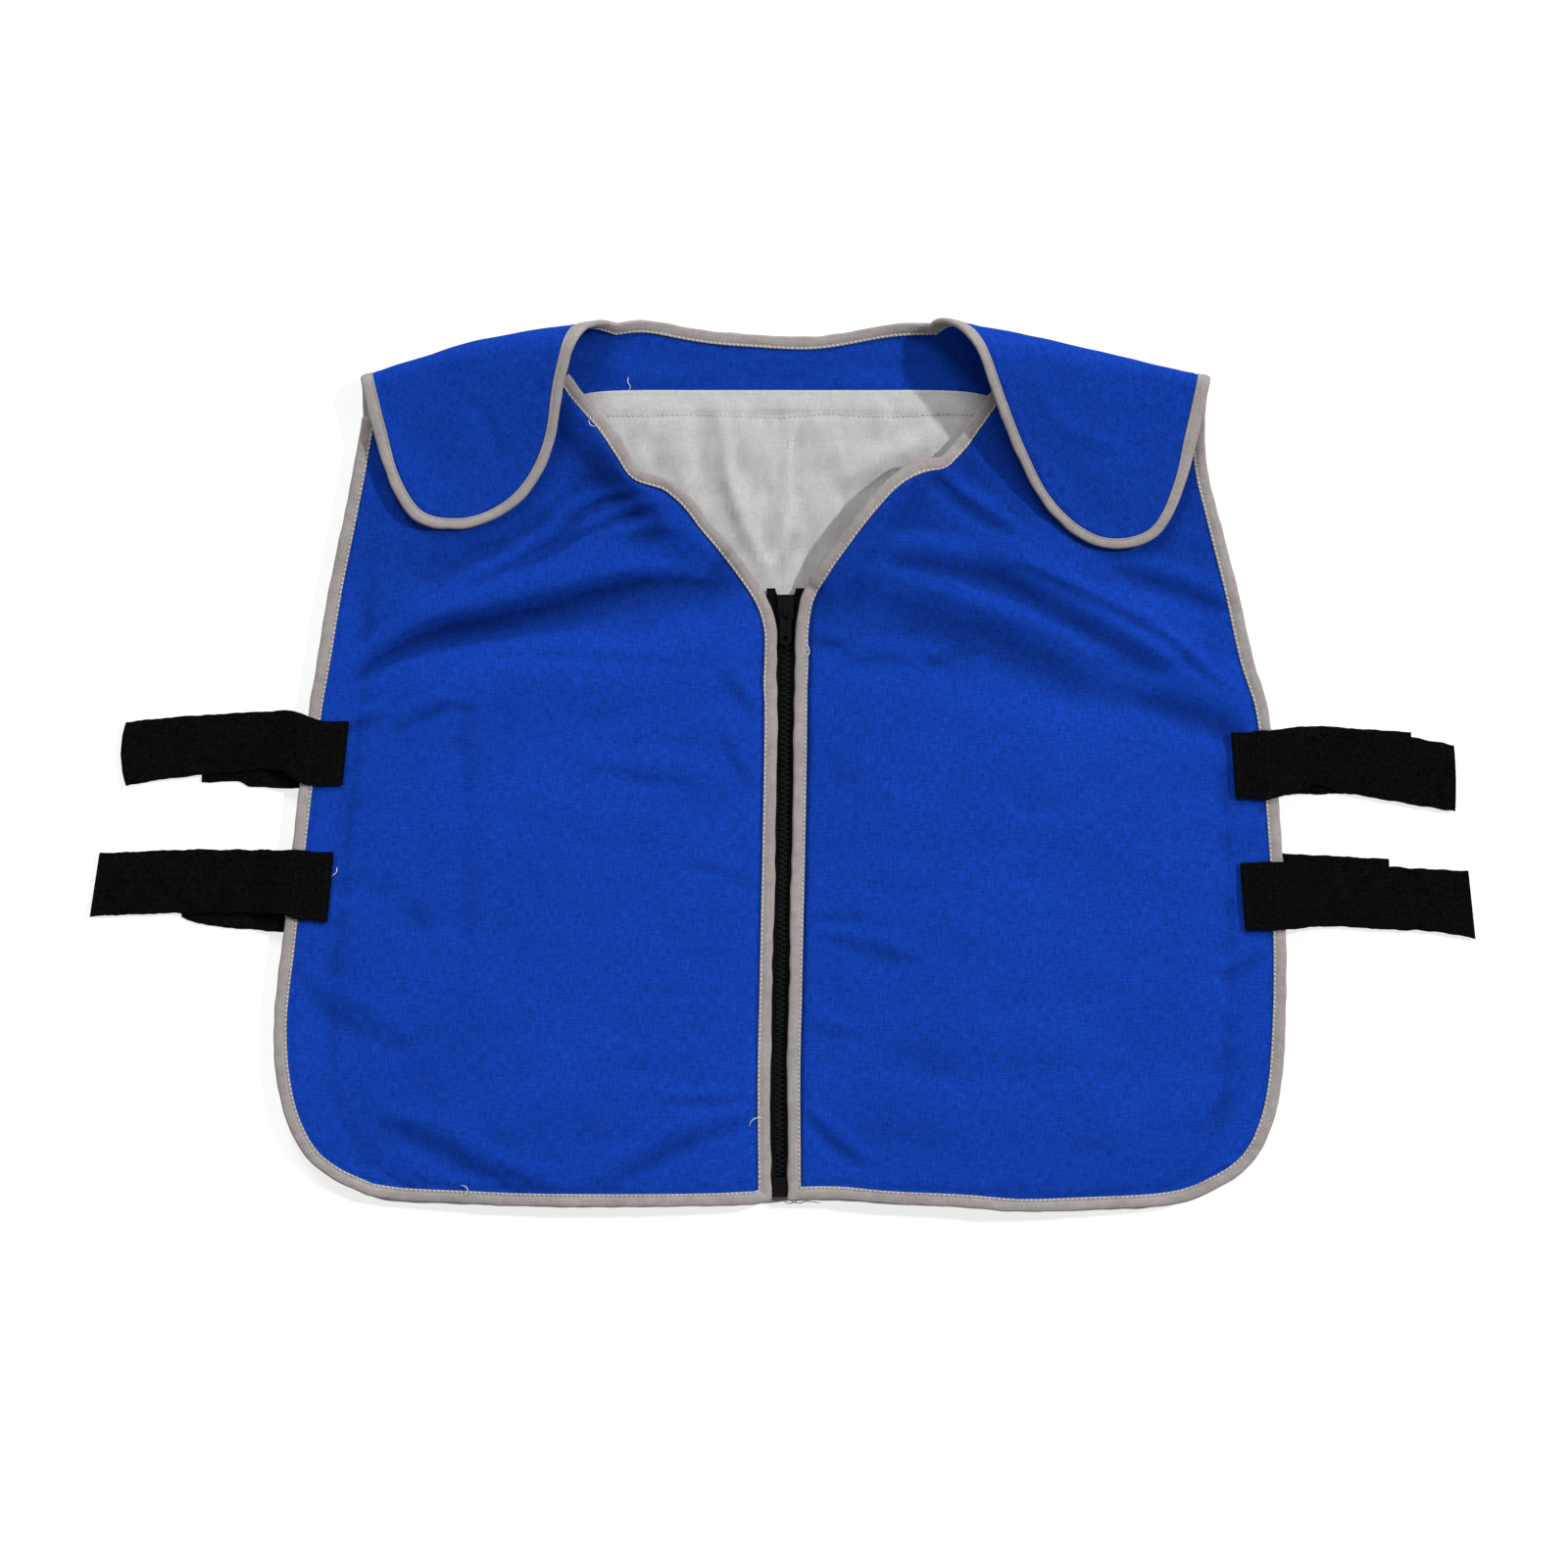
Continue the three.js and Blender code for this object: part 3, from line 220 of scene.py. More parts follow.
SHOULDER_COLUMNS = 6
SHOULDER_SHARE = 0.27
NECK_COLUMNS = 8
FLAP_ROWS = {
    "left": table(
        "outer_along outer_down inner_along inner_down",
        (0, 0.14, 0.865, 0.21), (0, 0.27, 0.82, 0.31), (0.005, 0.41, 0.79, 0.43),
        (0.015, 0.55, 0.76, 0.55), (0.03, 0.68, 0.71, 0.67), (0.055, 0.79, 0.64, 0.79),
        (0.09, 0.89, 0.53, 0.91),
    ),
    "right": table(
        "outer_along outer_down inner_along inner_down",
        (0, 0.14, 0.825, 0.22), (0, 0.28, 0.78, 0.32), (0.005, 0.43, 0.73, 0.43),
        (0.012, 0.56, 0.67, 0.56), (0.02, 0.69, 0.6, 0.69), (0.04, 0.8, 0.54, 0.8),
        (0.07, 0.9, 0.45, 0.9),
    ),
}
TIP_DROP = 0.1
CORNER_ALONG = 1.08
FLAPS = {
    "left": dict(sign=-1, outer=(-0.837, 0.936), inner=(-0.38, 0.997), bow=6, length=107, lift=34),
    "right": dict(sign=1, outer=(0.837, 0.936), inner=(0.316, 1.0), bow=1.5, length=116, lift=42),
}

# Folds: depth (proud if positive) and width in millimetres, then the points of the line. A slope
# falls from the side above its line to the side below by about twice its depth; its lines run
# from left to right, or downwards.
FRONT_FOLDS = {
    "left": [
        (3.6, 14, [(-255, 340), (-193, 376), (-133, 398), (-74, 424)]),
        (-1.0, 7, [(-200, 404), (-160, 398), (-130, 404)]),
        (0.8, 9, [(-150, 250), (-100, 238), (-50, 240)]),
        (-0.8, 9, [(-285, 200), (-240, 190), (-215, 160)]),
        (0.5, 12, [(-205, 322), (-202, 210), (-206, 120)]),
    ],
    "right": [
        (4.4, 14, [(90, 441), (127, 412), (167, 388), (219, 360), (290, 304)]),
        (-1.8, 14, [(60, 372), (120, 352), (180, 330)]),
        (0.9, 10, [(240, 250), (265, 235), (290, 232)]),
        (0.7, 12, [(60, 250), (140, 236), (220, 246)]),
    ],
}
FRONT_SLOPES = {
    "left": [
        (3.7, 7, [(-266, 326), (-225, 349), (-181, 360), (-133, 372), (-89, 383), (-44, 382)]),
        (2.2, 4.5, [(-200, 378), (-145, 408), (-121, 428), (-92, 436)]),
        (2.0, 4.5, [(-170, 388), (-113, 418), (-76, 428)]),
        (1.2, 4, [(-140, 396), (-104, 410), (-66, 412)]),
        (2.6, 18, [(-230, 392), (-161, 418), (-120, 450)]),
        (3.0, 12, [(-152, 500), (-124, 464), (-98, 438), (-72, 408)]),
        (0.7, 3.6, [(-199, 338), (-120, 337), (-46, 332)]),
        (0.8, 4, [(-272, 293), (-258, 298), (-244, 302)]),
        (0.9, 4, [(-243, 291), (-215, 305), (-190, 306)]),
        (0.8, 4, [(-39, 328), (-26, 314), (-15, 300)]),
        (0.6, 8, [(-191, 322), (-188, 210), (-193, 116)]),
        (0.7, 4, [(-38, 292), (-27, 270), (-15, 250)]),
        (0.6, 5, [(-128, 272), (-89, 266), (-50, 261)]),
        (0.6, 4, [(-58, 212), (-33, 204), (-13, 193)]),
        (0.7, 3.6, [(-75, 65), (-49, 66), (-18, 66)]),
        (1.5, 7, [(-116, 12), (-89, 30), (-57, 46), (-18, 57)]),
        (1.9, 8, [(-250, 56), (-209, 39), (-181, 23), (-140, 9)]),
        (0.9, 8, [(-300, 144), (-265, 118), (-225, 98)]),
    ],
    "right": [
        (4.8, 10, [(60, 400), (119, 390), (167, 368), (207, 345), (240, 326)]),
        (1.5, 4, [(140, 394), (187, 372), (223, 354), (268, 318)]),
        (2.4, 5, [(92, 448), (113, 429), (142, 412)]),
        (1.8, 6, [(198, 394), (239, 380), (276, 366)]),
        (1.9, 9, [(214, 316), (259, 303), (290, 284)]),
        (0.8, 3.6, [(12, 350), (24, 348), (38, 346)]),
        (0.8, 3.8, [(36, 339), (64, 338), (106, 336)]),
        (0.4, 3.6, [(12, 177), (30, 179), (50, 179)]),
        (0.7, 4, [(14, 168), (51, 160), (84, 150)]),
        (0.5, 4, [(12, 113), (30, 108), (50, 105)]),
        (1.2, 14, [(45, 107), (111, 94), (190, 88)]),
        (1.1, 4, [(12, 60), (31, 41), (52, 26)]),
        (0.8, 5, [(260, 141), (275, 147), (292, 154)]),
        (0.7, 8, [(240, 48), (258, 60), (272, 74)]),
    ],
}
FRONT_LIFTS = {
    "left": [(10.0, 20, [(-114, 484), (-92, 450), (-66, 424), (-38, 394)])],
    "right": [(13.0, 19, [(16, 378), (44, 424), (74, 454), (106, 466)])],
}
# Small shifts of a neck edge in the plane: where, how wide, and how far across and up
FRONT_KINKS = {
    "left": [(-90, 450, 8, -1.5, -1.8), (-74, 438, 7, 1.0, 1.6), (-16, 320, 9, -0.8, 0)],
    "right": [(78, 459, 8, -2.4, 3.6), (94, 458, 8, 2.2, -3.4), (14, 330, 10, 0.9, 0)],
}
LINING_FOLDS = [
    (2.6, 4, [(-40, 484), (-34, 446), (-24, 414), (-6, 380)]),
    (1.2, 7, [(-62, 492), (-66, 462), (-60, 430)]),
    (-1.2, 7, [(-50, 488), (-47, 450), (-34, 415)]),
    (1.4, 3.5, [(-28, 452), (-20, 424), (-16, 398)]),
    (2.2, 3.6, [(-14, 384), (-4, 402), (0, 428)]),
    (-1.6, 3.6, [(-8, 376), (1, 396), (6, 412)]),
    (1.4, 2.4, [(1, 366), (2, 400), (2, 440), (1, 497)]),
    (1.2, 2.6, [(9, 366), (9, 400), (8, 440)]),
    (1.3, 7, [(30, 444), (60, 458), (96, 476)]),
    (-1.0, 6, [(30, 434), (62, 446), (98, 464)]),
    (1.0, 6, [(-90, 486), (-84, 470), (-86, 450)]),
    (-0.5, 2.2, [(-112, 483), (-40, 484), (40, 484), (114, 482)]),
    (1.1, 2.6, [(-112, 494), (-40, 495), (40, 496), (114, 495)]),
    (1.1, 3.5, [(-30, 494), (-26, 484), (-30, 472)]),
    (0.9, 3.5, [(56, 494), (60, 484), (56, 470)]),
    (-1.6, 9, [(8, 440), (14, 410), (10, 380)]),
]
# Short bars of thread across the middle seam of the lining: lowest, highest, and left and right
LINING_BARS = [(463.5, 470.0, 0.5, 6.5), (431.0, 448.0, 0.0, 7.0)]
LINING_HEM_Y = 483.5
BACK_FOLDS = [
    (1.4, 9, [(-140, 520), (-80, 508), (-20, 516)]),
    (-1.0, 6, [(20, 522), (60, 512), (100, 518)]),
    (0.9, 4, [(-30, 520), (-10, 510), (20, 512)]),
]
FLAP_FOLDS = {
    "left": [
        (1.5, 9, [(-250, 640), (-200, 610), (-150, 600)]),
        (1.0, 5, [(-215, 560), (-208, 590), (-215, 620)]),
    ],
    "right": [
        (1.4, 9, [(250, 640), (200, 610), (150, 600)]),
        (-1.0, 6, [(160, 570), (190, 585), (230, 580)]),
    ],
}

# Side straps: reference height, how far the upper edge leans across at the sewn and at the free
# end, how far the middle of the free end juts out, then how far out each station lies and how far
# the strap reaches above and below the reference height, all in millimetres.
STRAPS = {
    "front_upper_left": dict(sign=-1, middle=278.0, lean=(2.0, 0.0), jut=3.4, rows=table(
        "out above below",
        (-26, 18.6, 21.2), (-12, 18.4, 21), (-3, 20.8, 20.5), (5, 24.2, 17), (13, 24.8, 11),
        (53, 22.9, 13.8), (77, 21.4, 16.4), (94, 19.5, 18.4), (109, 17.8, 21.2))),
    "front_lower_left": dict(sign=-1, middle=197.0, lean=(2.0, 3.0), jut=0, rows=table(
        "out above below",
        (-26, 19, 23.2), (-7, 20.5, 21.6), (2, 20.8, 18.5), (67, 20.8, 18.2), (98, 19.8, 19.4),
        (119, 19, 20.4))),
    "front_upper_right": dict(sign=1, middle=270.0, lean=(-1.5, -0.4), jut=0.8, rows=table(
        "out above below",
        (-26, 19.4, 20.6), (-7, 20.4, 21.4), (7, 22.2, 18.6), (24, 23.4, 12.6), (39, 22.8, 17),
        (60, 20.5, 20.5), (84, 16.5, 24.6), (110, 11.6, 28.8))),
    "front_lower_right": dict(sign=1, middle=190.0, lean=(-1.6, -2.2), jut=0, rows=table(
        "out above below",
        (-26, 20, 21.6), (0, 20.5, 21), (30, 20, 19), (52, 18.5, 20.8), (91, 16, 22.6),
        (115, 14.6, 26.6))),
    "back_upper_left": dict(sign=-1, middle=278.0, lean=(0, 1.0), jut=0, rows=table(
        "out above below", (-26, 18, 22), (0, 18, 23), (33, 19, 21.4), (40, 20, 18.4), (62, 20, 19.4))),
    "back_lower_left": dict(sign=-1, middle=197.0, lean=(0, -1.0), jut=0, rows=table(
        "out above below", (-26, 14, 28), (0, 12, 29.6), (37, 14, 27), (60, 16, 23.6), (67, 18, 20))),
    "back_upper_right": dict(sign=1, middle=270.0, lean=(0, 0.6), jut=0, rows=table(
        "out above below", (-26, 20, 20), (0, 21, 19), (40, 22, 18), (83, 19.8, 20))),
    "back_lower_right": dict(sign=1, middle=190.0, lean=(0, -0.6), jut=0, rows=table(
        "out above below", (-26, 25, 15), (0, 25.4, 15), (40, 23.4, 17), (65, 22.1, 18))),
}

# Lights: name, strength, width in degrees, and the direction that the light comes from
LIGHTS = [
    ("key light", 2.5, 3, (0.70, 0.30, 0.63)),
    ("soft light", 2.1, 24, (-0.20, 0.80, 0.56)),
]

# Loose ends of thread: the piece they lie on, their colour, and points as (x, y, rise).
LOOSE_ENDS = [
    ("back_cloth", "pale", [(-96, 498.5, 0.2), (-95, 501, 1.0), (-96.5, 504, 1.6), (-96, 508, 0.6)]),
    ("front_cloth_left", "pale",
     [(-279, 199.5, 0.2), (-277, 202, 0.8), (-274.5, 204, 0.9), (-274, 207, 0.2)]),
    ("front_edge_binding_left", "pale", [(-116, 476, 0.2), (-119, 477, 1.4), (-120, 480, 0.6)]),
    ("front_edge_binding_left", "pale", [(-197, 7, 0.2), (-194, 9, 1.2), (-195, 12, 1.0), (-198, 13, 0.3)]),
    ("front_edge_binding_left", "pale", [(-14, 54, 0.2), (-18, 54, 1.2), (-21, 52, 1.2), (-22, 49, 0.2)]),
    ("front_edge_binding_right", "pale", [(12.5, 335, 0.2), (14.5, 338, 0.8), (14, 342, 0.3)]),
    ("front_edge_binding_right", "pale", [(288, 182, 0.2), (284, 184, 0.8), (283, 188, 0.3)]),
    ("back_edge_binding", "black", [(2.5, 3.2, 0.3), (8, 1.6, 0.9), (13, 2.8, 0.8), (21, 1.8, 0.3)]),
    ("back_edge_binding", "black", [(-1, 2.4, 0.3), (3, 1.4, 0.7), (8, 3.4, 0.3)]),
]


# Curves and grids


def smooth(t):
    """Rises from 0 to 1 as 3t² - 2t³."""
    t = np.clip(t, 0, 1)
    return t * t * (3 - 2 * t)


def through(knots, values, at):
    """Cubic through the values at their knots, whose slope at a knot is that of the line joining
    its two neighbours. values may have more axes after the first."""
    knots = np.asarray(knots, float)
    values = np.asarray(values, float)
    at = np.asarray(at, float)
    last = len(knots) - 1
    i = np.clip(np.searchsorted(knots, at, side="right") - 1, 0, last - 1)
    before, after = np.maximum(i - 1, 0), np.minimum(i + 2, last)

    def shaped(a):
        return a.reshape(a.shape + (1,) * (values.ndim - 1))

    span = knots[i + 1] - knots[i]
    t = shaped(np.clip((at - knots[i]) / span, 0, 1))
    slope_in = (values[i + 1] - values[before]) * shaped(span / (knots[i + 1] - knots[before]))
    slope_out = (values[after] - values[i]) * shaped(span / (knots[after] - knots[i]))
    return (
        (2 * t**3 - 3 * t**2 + 1) * values[i]
        + (t**3 - 2 * t**2 + t) * slope_in
        + (3 * t**2 - 2 * t**3) * values[i + 1]
        + (t**3 - t**2) * slope_out
    )


def read(rows, key, at, column):
    """Value of a table's column between its rows."""
    return through(rows[key], rows[column], at)


def refined(grid, rows, columns, at_rows, at_columns):
    """A grid of points carried to finer rows and columns, first one way and then the other."""
    tall = through(rows, grid, at_rows)
    return np.swapaxes(through(columns, np.swapaxes(tall, 0, 1), at_columns), 0, 1)


def finer(knots, parts):
    """Every stretch between two knots in so many equal parts."""
    knots = np.asarray(knots, float)
    share = np.arange(parts) / parts
    inside = knots[:-1, None] + share * np.diff(knots)[:, None]
    return np.append(inside.ravel(), knots[-1])


def spread(low, high, step):
    """Even numbers from low to high, about a step apart."""
    return np.linspace(low, high, max(2, int(round(abs(high - low) / step)) + 1))


def along(points):
    """Length of a line up to each of its points."""
    return np.append(0, np.cumsum(np.linalg.norm(np.diff(points, axis=0), axis=1)))


def mixed(a, b, share):
    return a + (b - a) * share


def points_of(x, y, z):
    return np.stack(np.broadcast_arrays(x, y, z), -1).astype(float)


def inset_loop(loop, distance):
    """Moves each point of a closed anticlockwise outline inwards by one distance."""
    ahead = np.roll(loop, -1, axis=0) - loop
    ahead /= np.linalg.norm(ahead, axis=1)[:, None]
    behind = np.roll(ahead, 1, axis=0)
    way = ahead + behind
    way /= np.linalg.norm(way, axis=1)[:, None]
    mitre = np.maximum(np.sum(ahead * way, axis=1), 0.6)[:, None]
    return loop + np.stack([-way[:, 1], way[:, 0]], 1) * distance / mitre


def waves(x, y, size, seed, count=14):
    """Sum of plane waves whose lengths lie around one size, each turned and shifted at random
    from a fixed seed, scaled to about ±1."""
    rng = np.random.default_rng(seed)
    total = np.zeros(np.broadcast(x, y).shape)
    for _ in range(count):
        turn, shift = rng.uniform(0, 2 * math.pi, 2)
        number = 2 * math.pi / (size * rng.uniform(0.7, 1.5))
        total += np.sin(number * (x * math.cos(turn) + y * math.sin(turn)) + shift)
    return total / math.sqrt(count)


def creases(x, y, folds, strength=1.0, slope=False):
    """Sum over the folds of depth × exp(-(distance / width)²), fading out along each line as the
    root of a half sine. A slope is depth × e^½ × d × exp(-d² / 2) instead, where d is the signed
    distance in widths, positive to the left of the line's way."""
    total = np.zeros(x.shape)
    spot = np.stack([x.ravel(), y.ravel()], 1)
    for depth, width, line in folds:
        line = np.array(line, float)
        length = along(line)
        line = through(length, line, spread(0, length[-1], 8))
        start, step = line[:-1], np.diff(line, axis=0)
        near = np.full(len(spot), 1e9)
        share = np.zeros(len(spot))
        hand = np.ones(len(spot))
        for k, (a, d) in enumerate(zip(start, step)):
            away = spot - a
            t = np.clip((away @ d) / (d @ d), 0, 1)
            gap = np.linalg.norm(away - t[:, None] * d, axis=1)
            closer = gap < near
            near = np.where(closer, gap, near)
            share = np.where(closer, (k + t) / len(start), share)
            hand = np.where(closer, np.sign(d[0] * away[:, 1] - d[1] * away[:, 0]), hand)
        wide = width * (0.65 + 0.35 * np.sin(math.pi * share))
        faded = np.sqrt(np.sin(math.pi * np.clip(share, 0.002, 0.998)))
        far = near / wide
        shape = 1.65 * hand * far * np.exp(-(far**2) / 2) if slope else np.exp(-(far**2))
        total += (depth * faded * shape).reshape(x.shape)
    return total * strength


def hollows(z, passes, depth):
    """0 to 1 in the hollows of a grid of heights: how far each lies under the mean about it, in
    shares of a depth. The mean is the repeated average of each point and its neighbours."""
    mean = z.copy()
    for _ in range(passes):
        tall = np.pad(mean, ((1, 1), (0, 0)), mode="edge")
        mean = (tall[:-2] + 2 * mean + tall[2:]) / 4
        wide = np.pad(mean, ((0, 0), (1, 1)), mode="edge")
        mean = (wide[:, :-2] + 2 * mean + wide[:, 2:]) / 4
    return np.clip((mean - z) / depth, 0, 1)


# Outline of the cut


def zip_x(up):
    return HALF_WIDTH * read(ZIP_LINE, "up", up, "across")


def side_point(side, up, inset=0.0):
    x = HALF_WIDTH * read(SIDES, "up", up, side)
    return np.stack([x - np.sign(x) * inset, up * BODY_LENGTH * np.ones_like(x)], -1)


def hem_point(across, drop=0.0):
    y = read(HEM, "across", across, "up") * BODY_LENGTH - drop
    return np.stack([across * HALF_WIDTH, y], -1)


def front_point(side, up):
    opened = HALF_WIDTH * read(NECKLINE, "up", np.maximum(up, NECKLINE["up"][0]), side)
    x = zip_x(up) + FLAPS[side]["sign"] * ZIP_HALF_GAP + opened
    return np.stack([x, up * BODY_LENGTH], -1)


class Fold:
    """One shoulder fold: its line, and the roll along it. The roll's axis lies inside the line by
    its radius, which grows from the outer end to the neck."""

    def __init__(self, side):
        flap = FLAPS[side]
        size = np.array([HALF_WIDTH, BODY_LENGTH])
        self.start = np.array(flap["outer"]) * size
        reach = np.array(flap["inner"]) * size - self.start
        self.width = float(np.linalg.norm(reach))
        self.way = reach / self.width
        self.away = np.array([self.way[1], -self.way[0]]) * flap["sign"]
        self.length = flap["length"]
        self.bow = flap["bow"]
        self.lift = flap["lift"]

    def radius(self, a):
        share = np.clip(a / self.width, 0, 1) ** 1.4
        return mixed((FLAP_REST_Z - BACK_EDGE_Z) / 2, self.lift / 2, share)

    def bulge(self, a):
        return self.bow * np.sin(math.pi * np.clip(a / self.width, 0, 1))

    def axis(self, a):
        a = np.asarray(a, float)[..., None]
        return self.start + a * self.way + (self.bulge(a) - self.radius(a)) * self.away


FOLDS = {side: Fold(side) for side in FLAPS}


def lying(spot, z, h):
    """A point of a sheet that lies level: its height is that of the sheet's middle plus h."""
    return np.concatenate([spot, (z + h)[..., None]], -1)


def nudged(spot, kinks):
    """Shifts points in the plane by the sum of shift × exp(-(distance / size)²) over the kinks."""
    moved = spot.copy()
    for x, y, size, across, up in kinks:
        near = np.exp(-np.sum((spot - (x, y)) ** 2, -1) / size**2)[..., None]
        moved += near * np.array([across, up])
    return moved


def draped(spot, z, h):
    """Carries points of the back's cut to where they lie: flat, round the roll at the shoulder
    (a circle about the roll's axis), or on the flap beyond it, which settles on the front by a
    smooth step. Near the neck the roll fades out along the neck edge."""
    shape = np.broadcast(spot[..., 0], z, h).shape
    spot = np.broadcast_to(spot, shape + (2,))
    z, h = np.broadcast_to(z, shape), np.broadcast_to(h, shape)
    flat = lying(spot, z, h)
    placed = flat.copy()
    for side, fold in FOLDS.items():
        here = (spot[..., 0] < 0) == (side == "left")
        frm = spot - fold.start
        a, b = frm @ fold.way, frm @ fold.away
        radius = fold.radius(a)
        b = b - fold.bulge(a) + radius
        turn = np.clip(b / radius, 0, math.pi)
        beyond = np.maximum(0, b - math.pi * radius)
        settled = smooth(beyond / (0.9 * fold.length * (1 + 0.3 * np.clip(a / fold.width, 0, 1))))
        level = z + radius * (1 - np.cos(turn)) + (FLAP_REST_Z - z - 2 * radius) * settled
        reach = radius * np.sin(turn) - beyond
        rolled = fold.axis(a) + (reach - h * np.sin(turn))[..., None] * fold.away
        rolled = np.concatenate([rolled, (level + h * np.cos(turn))[..., None]], -1)
        fade = smooth((a - fold.width) / NECK_FADE)[..., None]
        placed = np.where((here & (b > 0))[..., None], mixed(rolled, flat, fade), placed)
    return placed


# Meshes


def to_frame(points):
    """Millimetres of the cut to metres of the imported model's frame."""
    return (np.asarray(points, float) + ORIGIN) / 1000


def volume_of(vertices, faces):
    """Signed volume: a sixth of the sum of a · (b × c) over the triangles."""
    a, b, c = (vertices[faces[:, k]] for k in range(3))
    total = np.sum(a * np.cross(b, c))
    if faces.shape[1] == 4:
        total += np.sum(vertices[faces[:, 0]] * np.cross(vertices[faces[:, 2]], vertices[faces[:, 3]]))
    return total / 6


def piece_of(name, vertices, groups, material, slot, replaces=(), uv=None, painted_shade=None):
    """A closed piece from its vertices in millimetres and its groups of faces, turned so that it
    points outwards, riding on the root. The last argument gives each vertex a share of painted
    shade, by which the cloth's material darkens its colour."""
    placed = to_frame(vertices)
    if sum(volume_of(placed, faces) for faces in groups) < 0:
        groups = [faces[:, ::-1] for faces in groups]
    mesh = bpy.data.meshes.new(name)
    mesh.from_pydata(placed.tolist(), [], [face for faces in groups for face in faces.tolist()])
    if uv is not None:
        corners = np.empty(len(mesh.loops), np.int32)
        mesh.loops.foreach_get("vertex_index", corners)
        layer = mesh.uv_layers.new(name="cut")
        layer.data.foreach_set("uv", (np.asarray(uv, float)[corners] / 1000).astype(np.float32).ravel())
    if painted_shade is not None:
        kept = mesh.attributes.new("painted_shade", "FLOAT", "POINT")
        kept.data.foreach_set("value", np.asarray(painted_shade, np.float32).ravel())
    mesh.shade_smooth()
    if mesh.validate():
        raise RuntimeError(f"{name}: the mesh had broken faces")
    made = bpy.data.objects.new(name, mesh)
    bpy.context.scene.collection.objects.link(made)
    mesh.materials.append(bpy.data.materials[material])
    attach(made, "root")
    if replaces:
        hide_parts(*replaces)
    return made


def sheet_of(name, upper, lower, quads, material, slot, flat, replaces, painted_shade=None):
    """A thin sheet from the points of its two faces, which share their spots in the flat cut."""
    vertices, faces = two_sided(upper.reshape(-1, 3), lower.reshape(-1, 3), quads)
    if painted_shade is not None:
        painted_shade = np.append(painted_shade, painted_shade)
    flat = flat.reshape(-1, 2)
    return piece_of(name, vertices, [faces], material, slot, replaces, np.concatenate([flat, flat]), painted_shade)


def joined(parts):
    """Several pairs of vertices and groups of faces as one pair."""
    points, groups, count = [], [], 0
    for vertices, faces in parts:
        points.append(vertices)
        groups += [group + count for group in faces]
        count += len(vertices)
    return np.concatenate(points), groups


def grid_quads(rows, columns, closed=False):
    """Faces between the points of a grid, whose columns may close on themselves."""
    i = np.arange(rows - 1)[:, None] * columns
    j = np.arange(columns if closed else columns - 1)
    k = (j + 1) % columns
    return np.stack([i + j, i + k, i + columns + k, i + columns + j], -1).reshape(-1, 4)


def two_sided(upper, lower, quads):
    """Vertices and faces of a sheet: the quads above, the same below turned over, and a wall
    along each side that only one quad has."""
    count = len(upper)
    sides = np.concatenate([quads[:, [k, (k + 1) % 4]] for k in range(4)])
    code = sides[:, 0] * count + sides[:, 1]
    lone = sides[~np.isin(code, sides[:, 1] * count + sides[:, 0])]
    a, b = lone[:, 0], lone[:, 1]
    walls = np.stack([a, a + count, b + count, b], 1)
    return np.concatenate([upper, lower]), np.concatenate([quads, quads[:, ::-1] + count, walls])


def skin(rings, loop=False):
    """Vertices and faces of a profile carried along a path: rings is stations × profile points.
    An open path is closed at both ends by a fan about the middle of its end profile."""
    stations, size = rings.shape[:2]
    vertices = rings.reshape(-1, 3)
    quads = grid_quads(stations, size, True)
    j = np.arange(size)
    k = (j + 1) % size
    last = (stations - 1) * size
    if loop:
        return vertices, [np.concatenate([quads, np.stack([last + j, last + k, k, j], 1)])]
    middle = np.stack([rings[0].mean(0), rings[-1].mean(0)])
    at = np.full(size, len(vertices))
    fans = np.concatenate([np.stack([k, j, at], 1), np.stack([last + j, last + k, at + 1], 1)])
    return np.concatenate([vertices, middle]), [quads, fans]


def ball(rings=4, sides=8, square=1.0):
    """Unit ball, or rounded block where square is under 1: each coordinate is sign × size^square
    of the ball's. Returns its vertices and faces."""
    up = np.linspace(-math.pi / 2, math.pi / 2, rings + 1)[1:-1, None]
    turn = np.arange(sides) * 2 * math.pi / sides
    unit = points_of(np.cos(up) * np.cos(turn), np.cos(up) * np.sin(turn), np.sin(up))
    vertices, faces = skin(np.sign(unit) * np.abs(unit) ** square)
    vertices[-2:] = [[0, 0, -1], [0, 0, 1]]
    return vertices, faces


def beads(start, end, size, up=(0.0, 0.0, 1.0), **shape):
    """One rounded bead for each row of start and end, which its length joins. size is its width
    and its height, and up is the way of its height."""
    unit, faces = ball(**shape)
    way = end - start
    length = np.linalg.norm(way, axis=1)[:, None]
    way = way / length
    beside = np.cross(up, way)
    beside /= np.linalg.norm(beside, axis=1)[:, None]
    above = np.cross(way, beside)
    places = (
        ((start + end) / 2)[:, None]
        + unit[None, :, 0:1] * (way * length / 2)[:, None]
        + unit[None, :, 1:2] * (beside * size[0] / 2)[:, None]
        + unit[None, :, 2:3] * (above * size[1] / 2)[:, None]
    )
    shift = (np.arange(len(places)) * len(unit))[:, None, None]
    return places.reshape(-1, 3), [(group[None] + shift).reshape(-1, group.shape[1]) for group in faces]


# Sheets of the vest


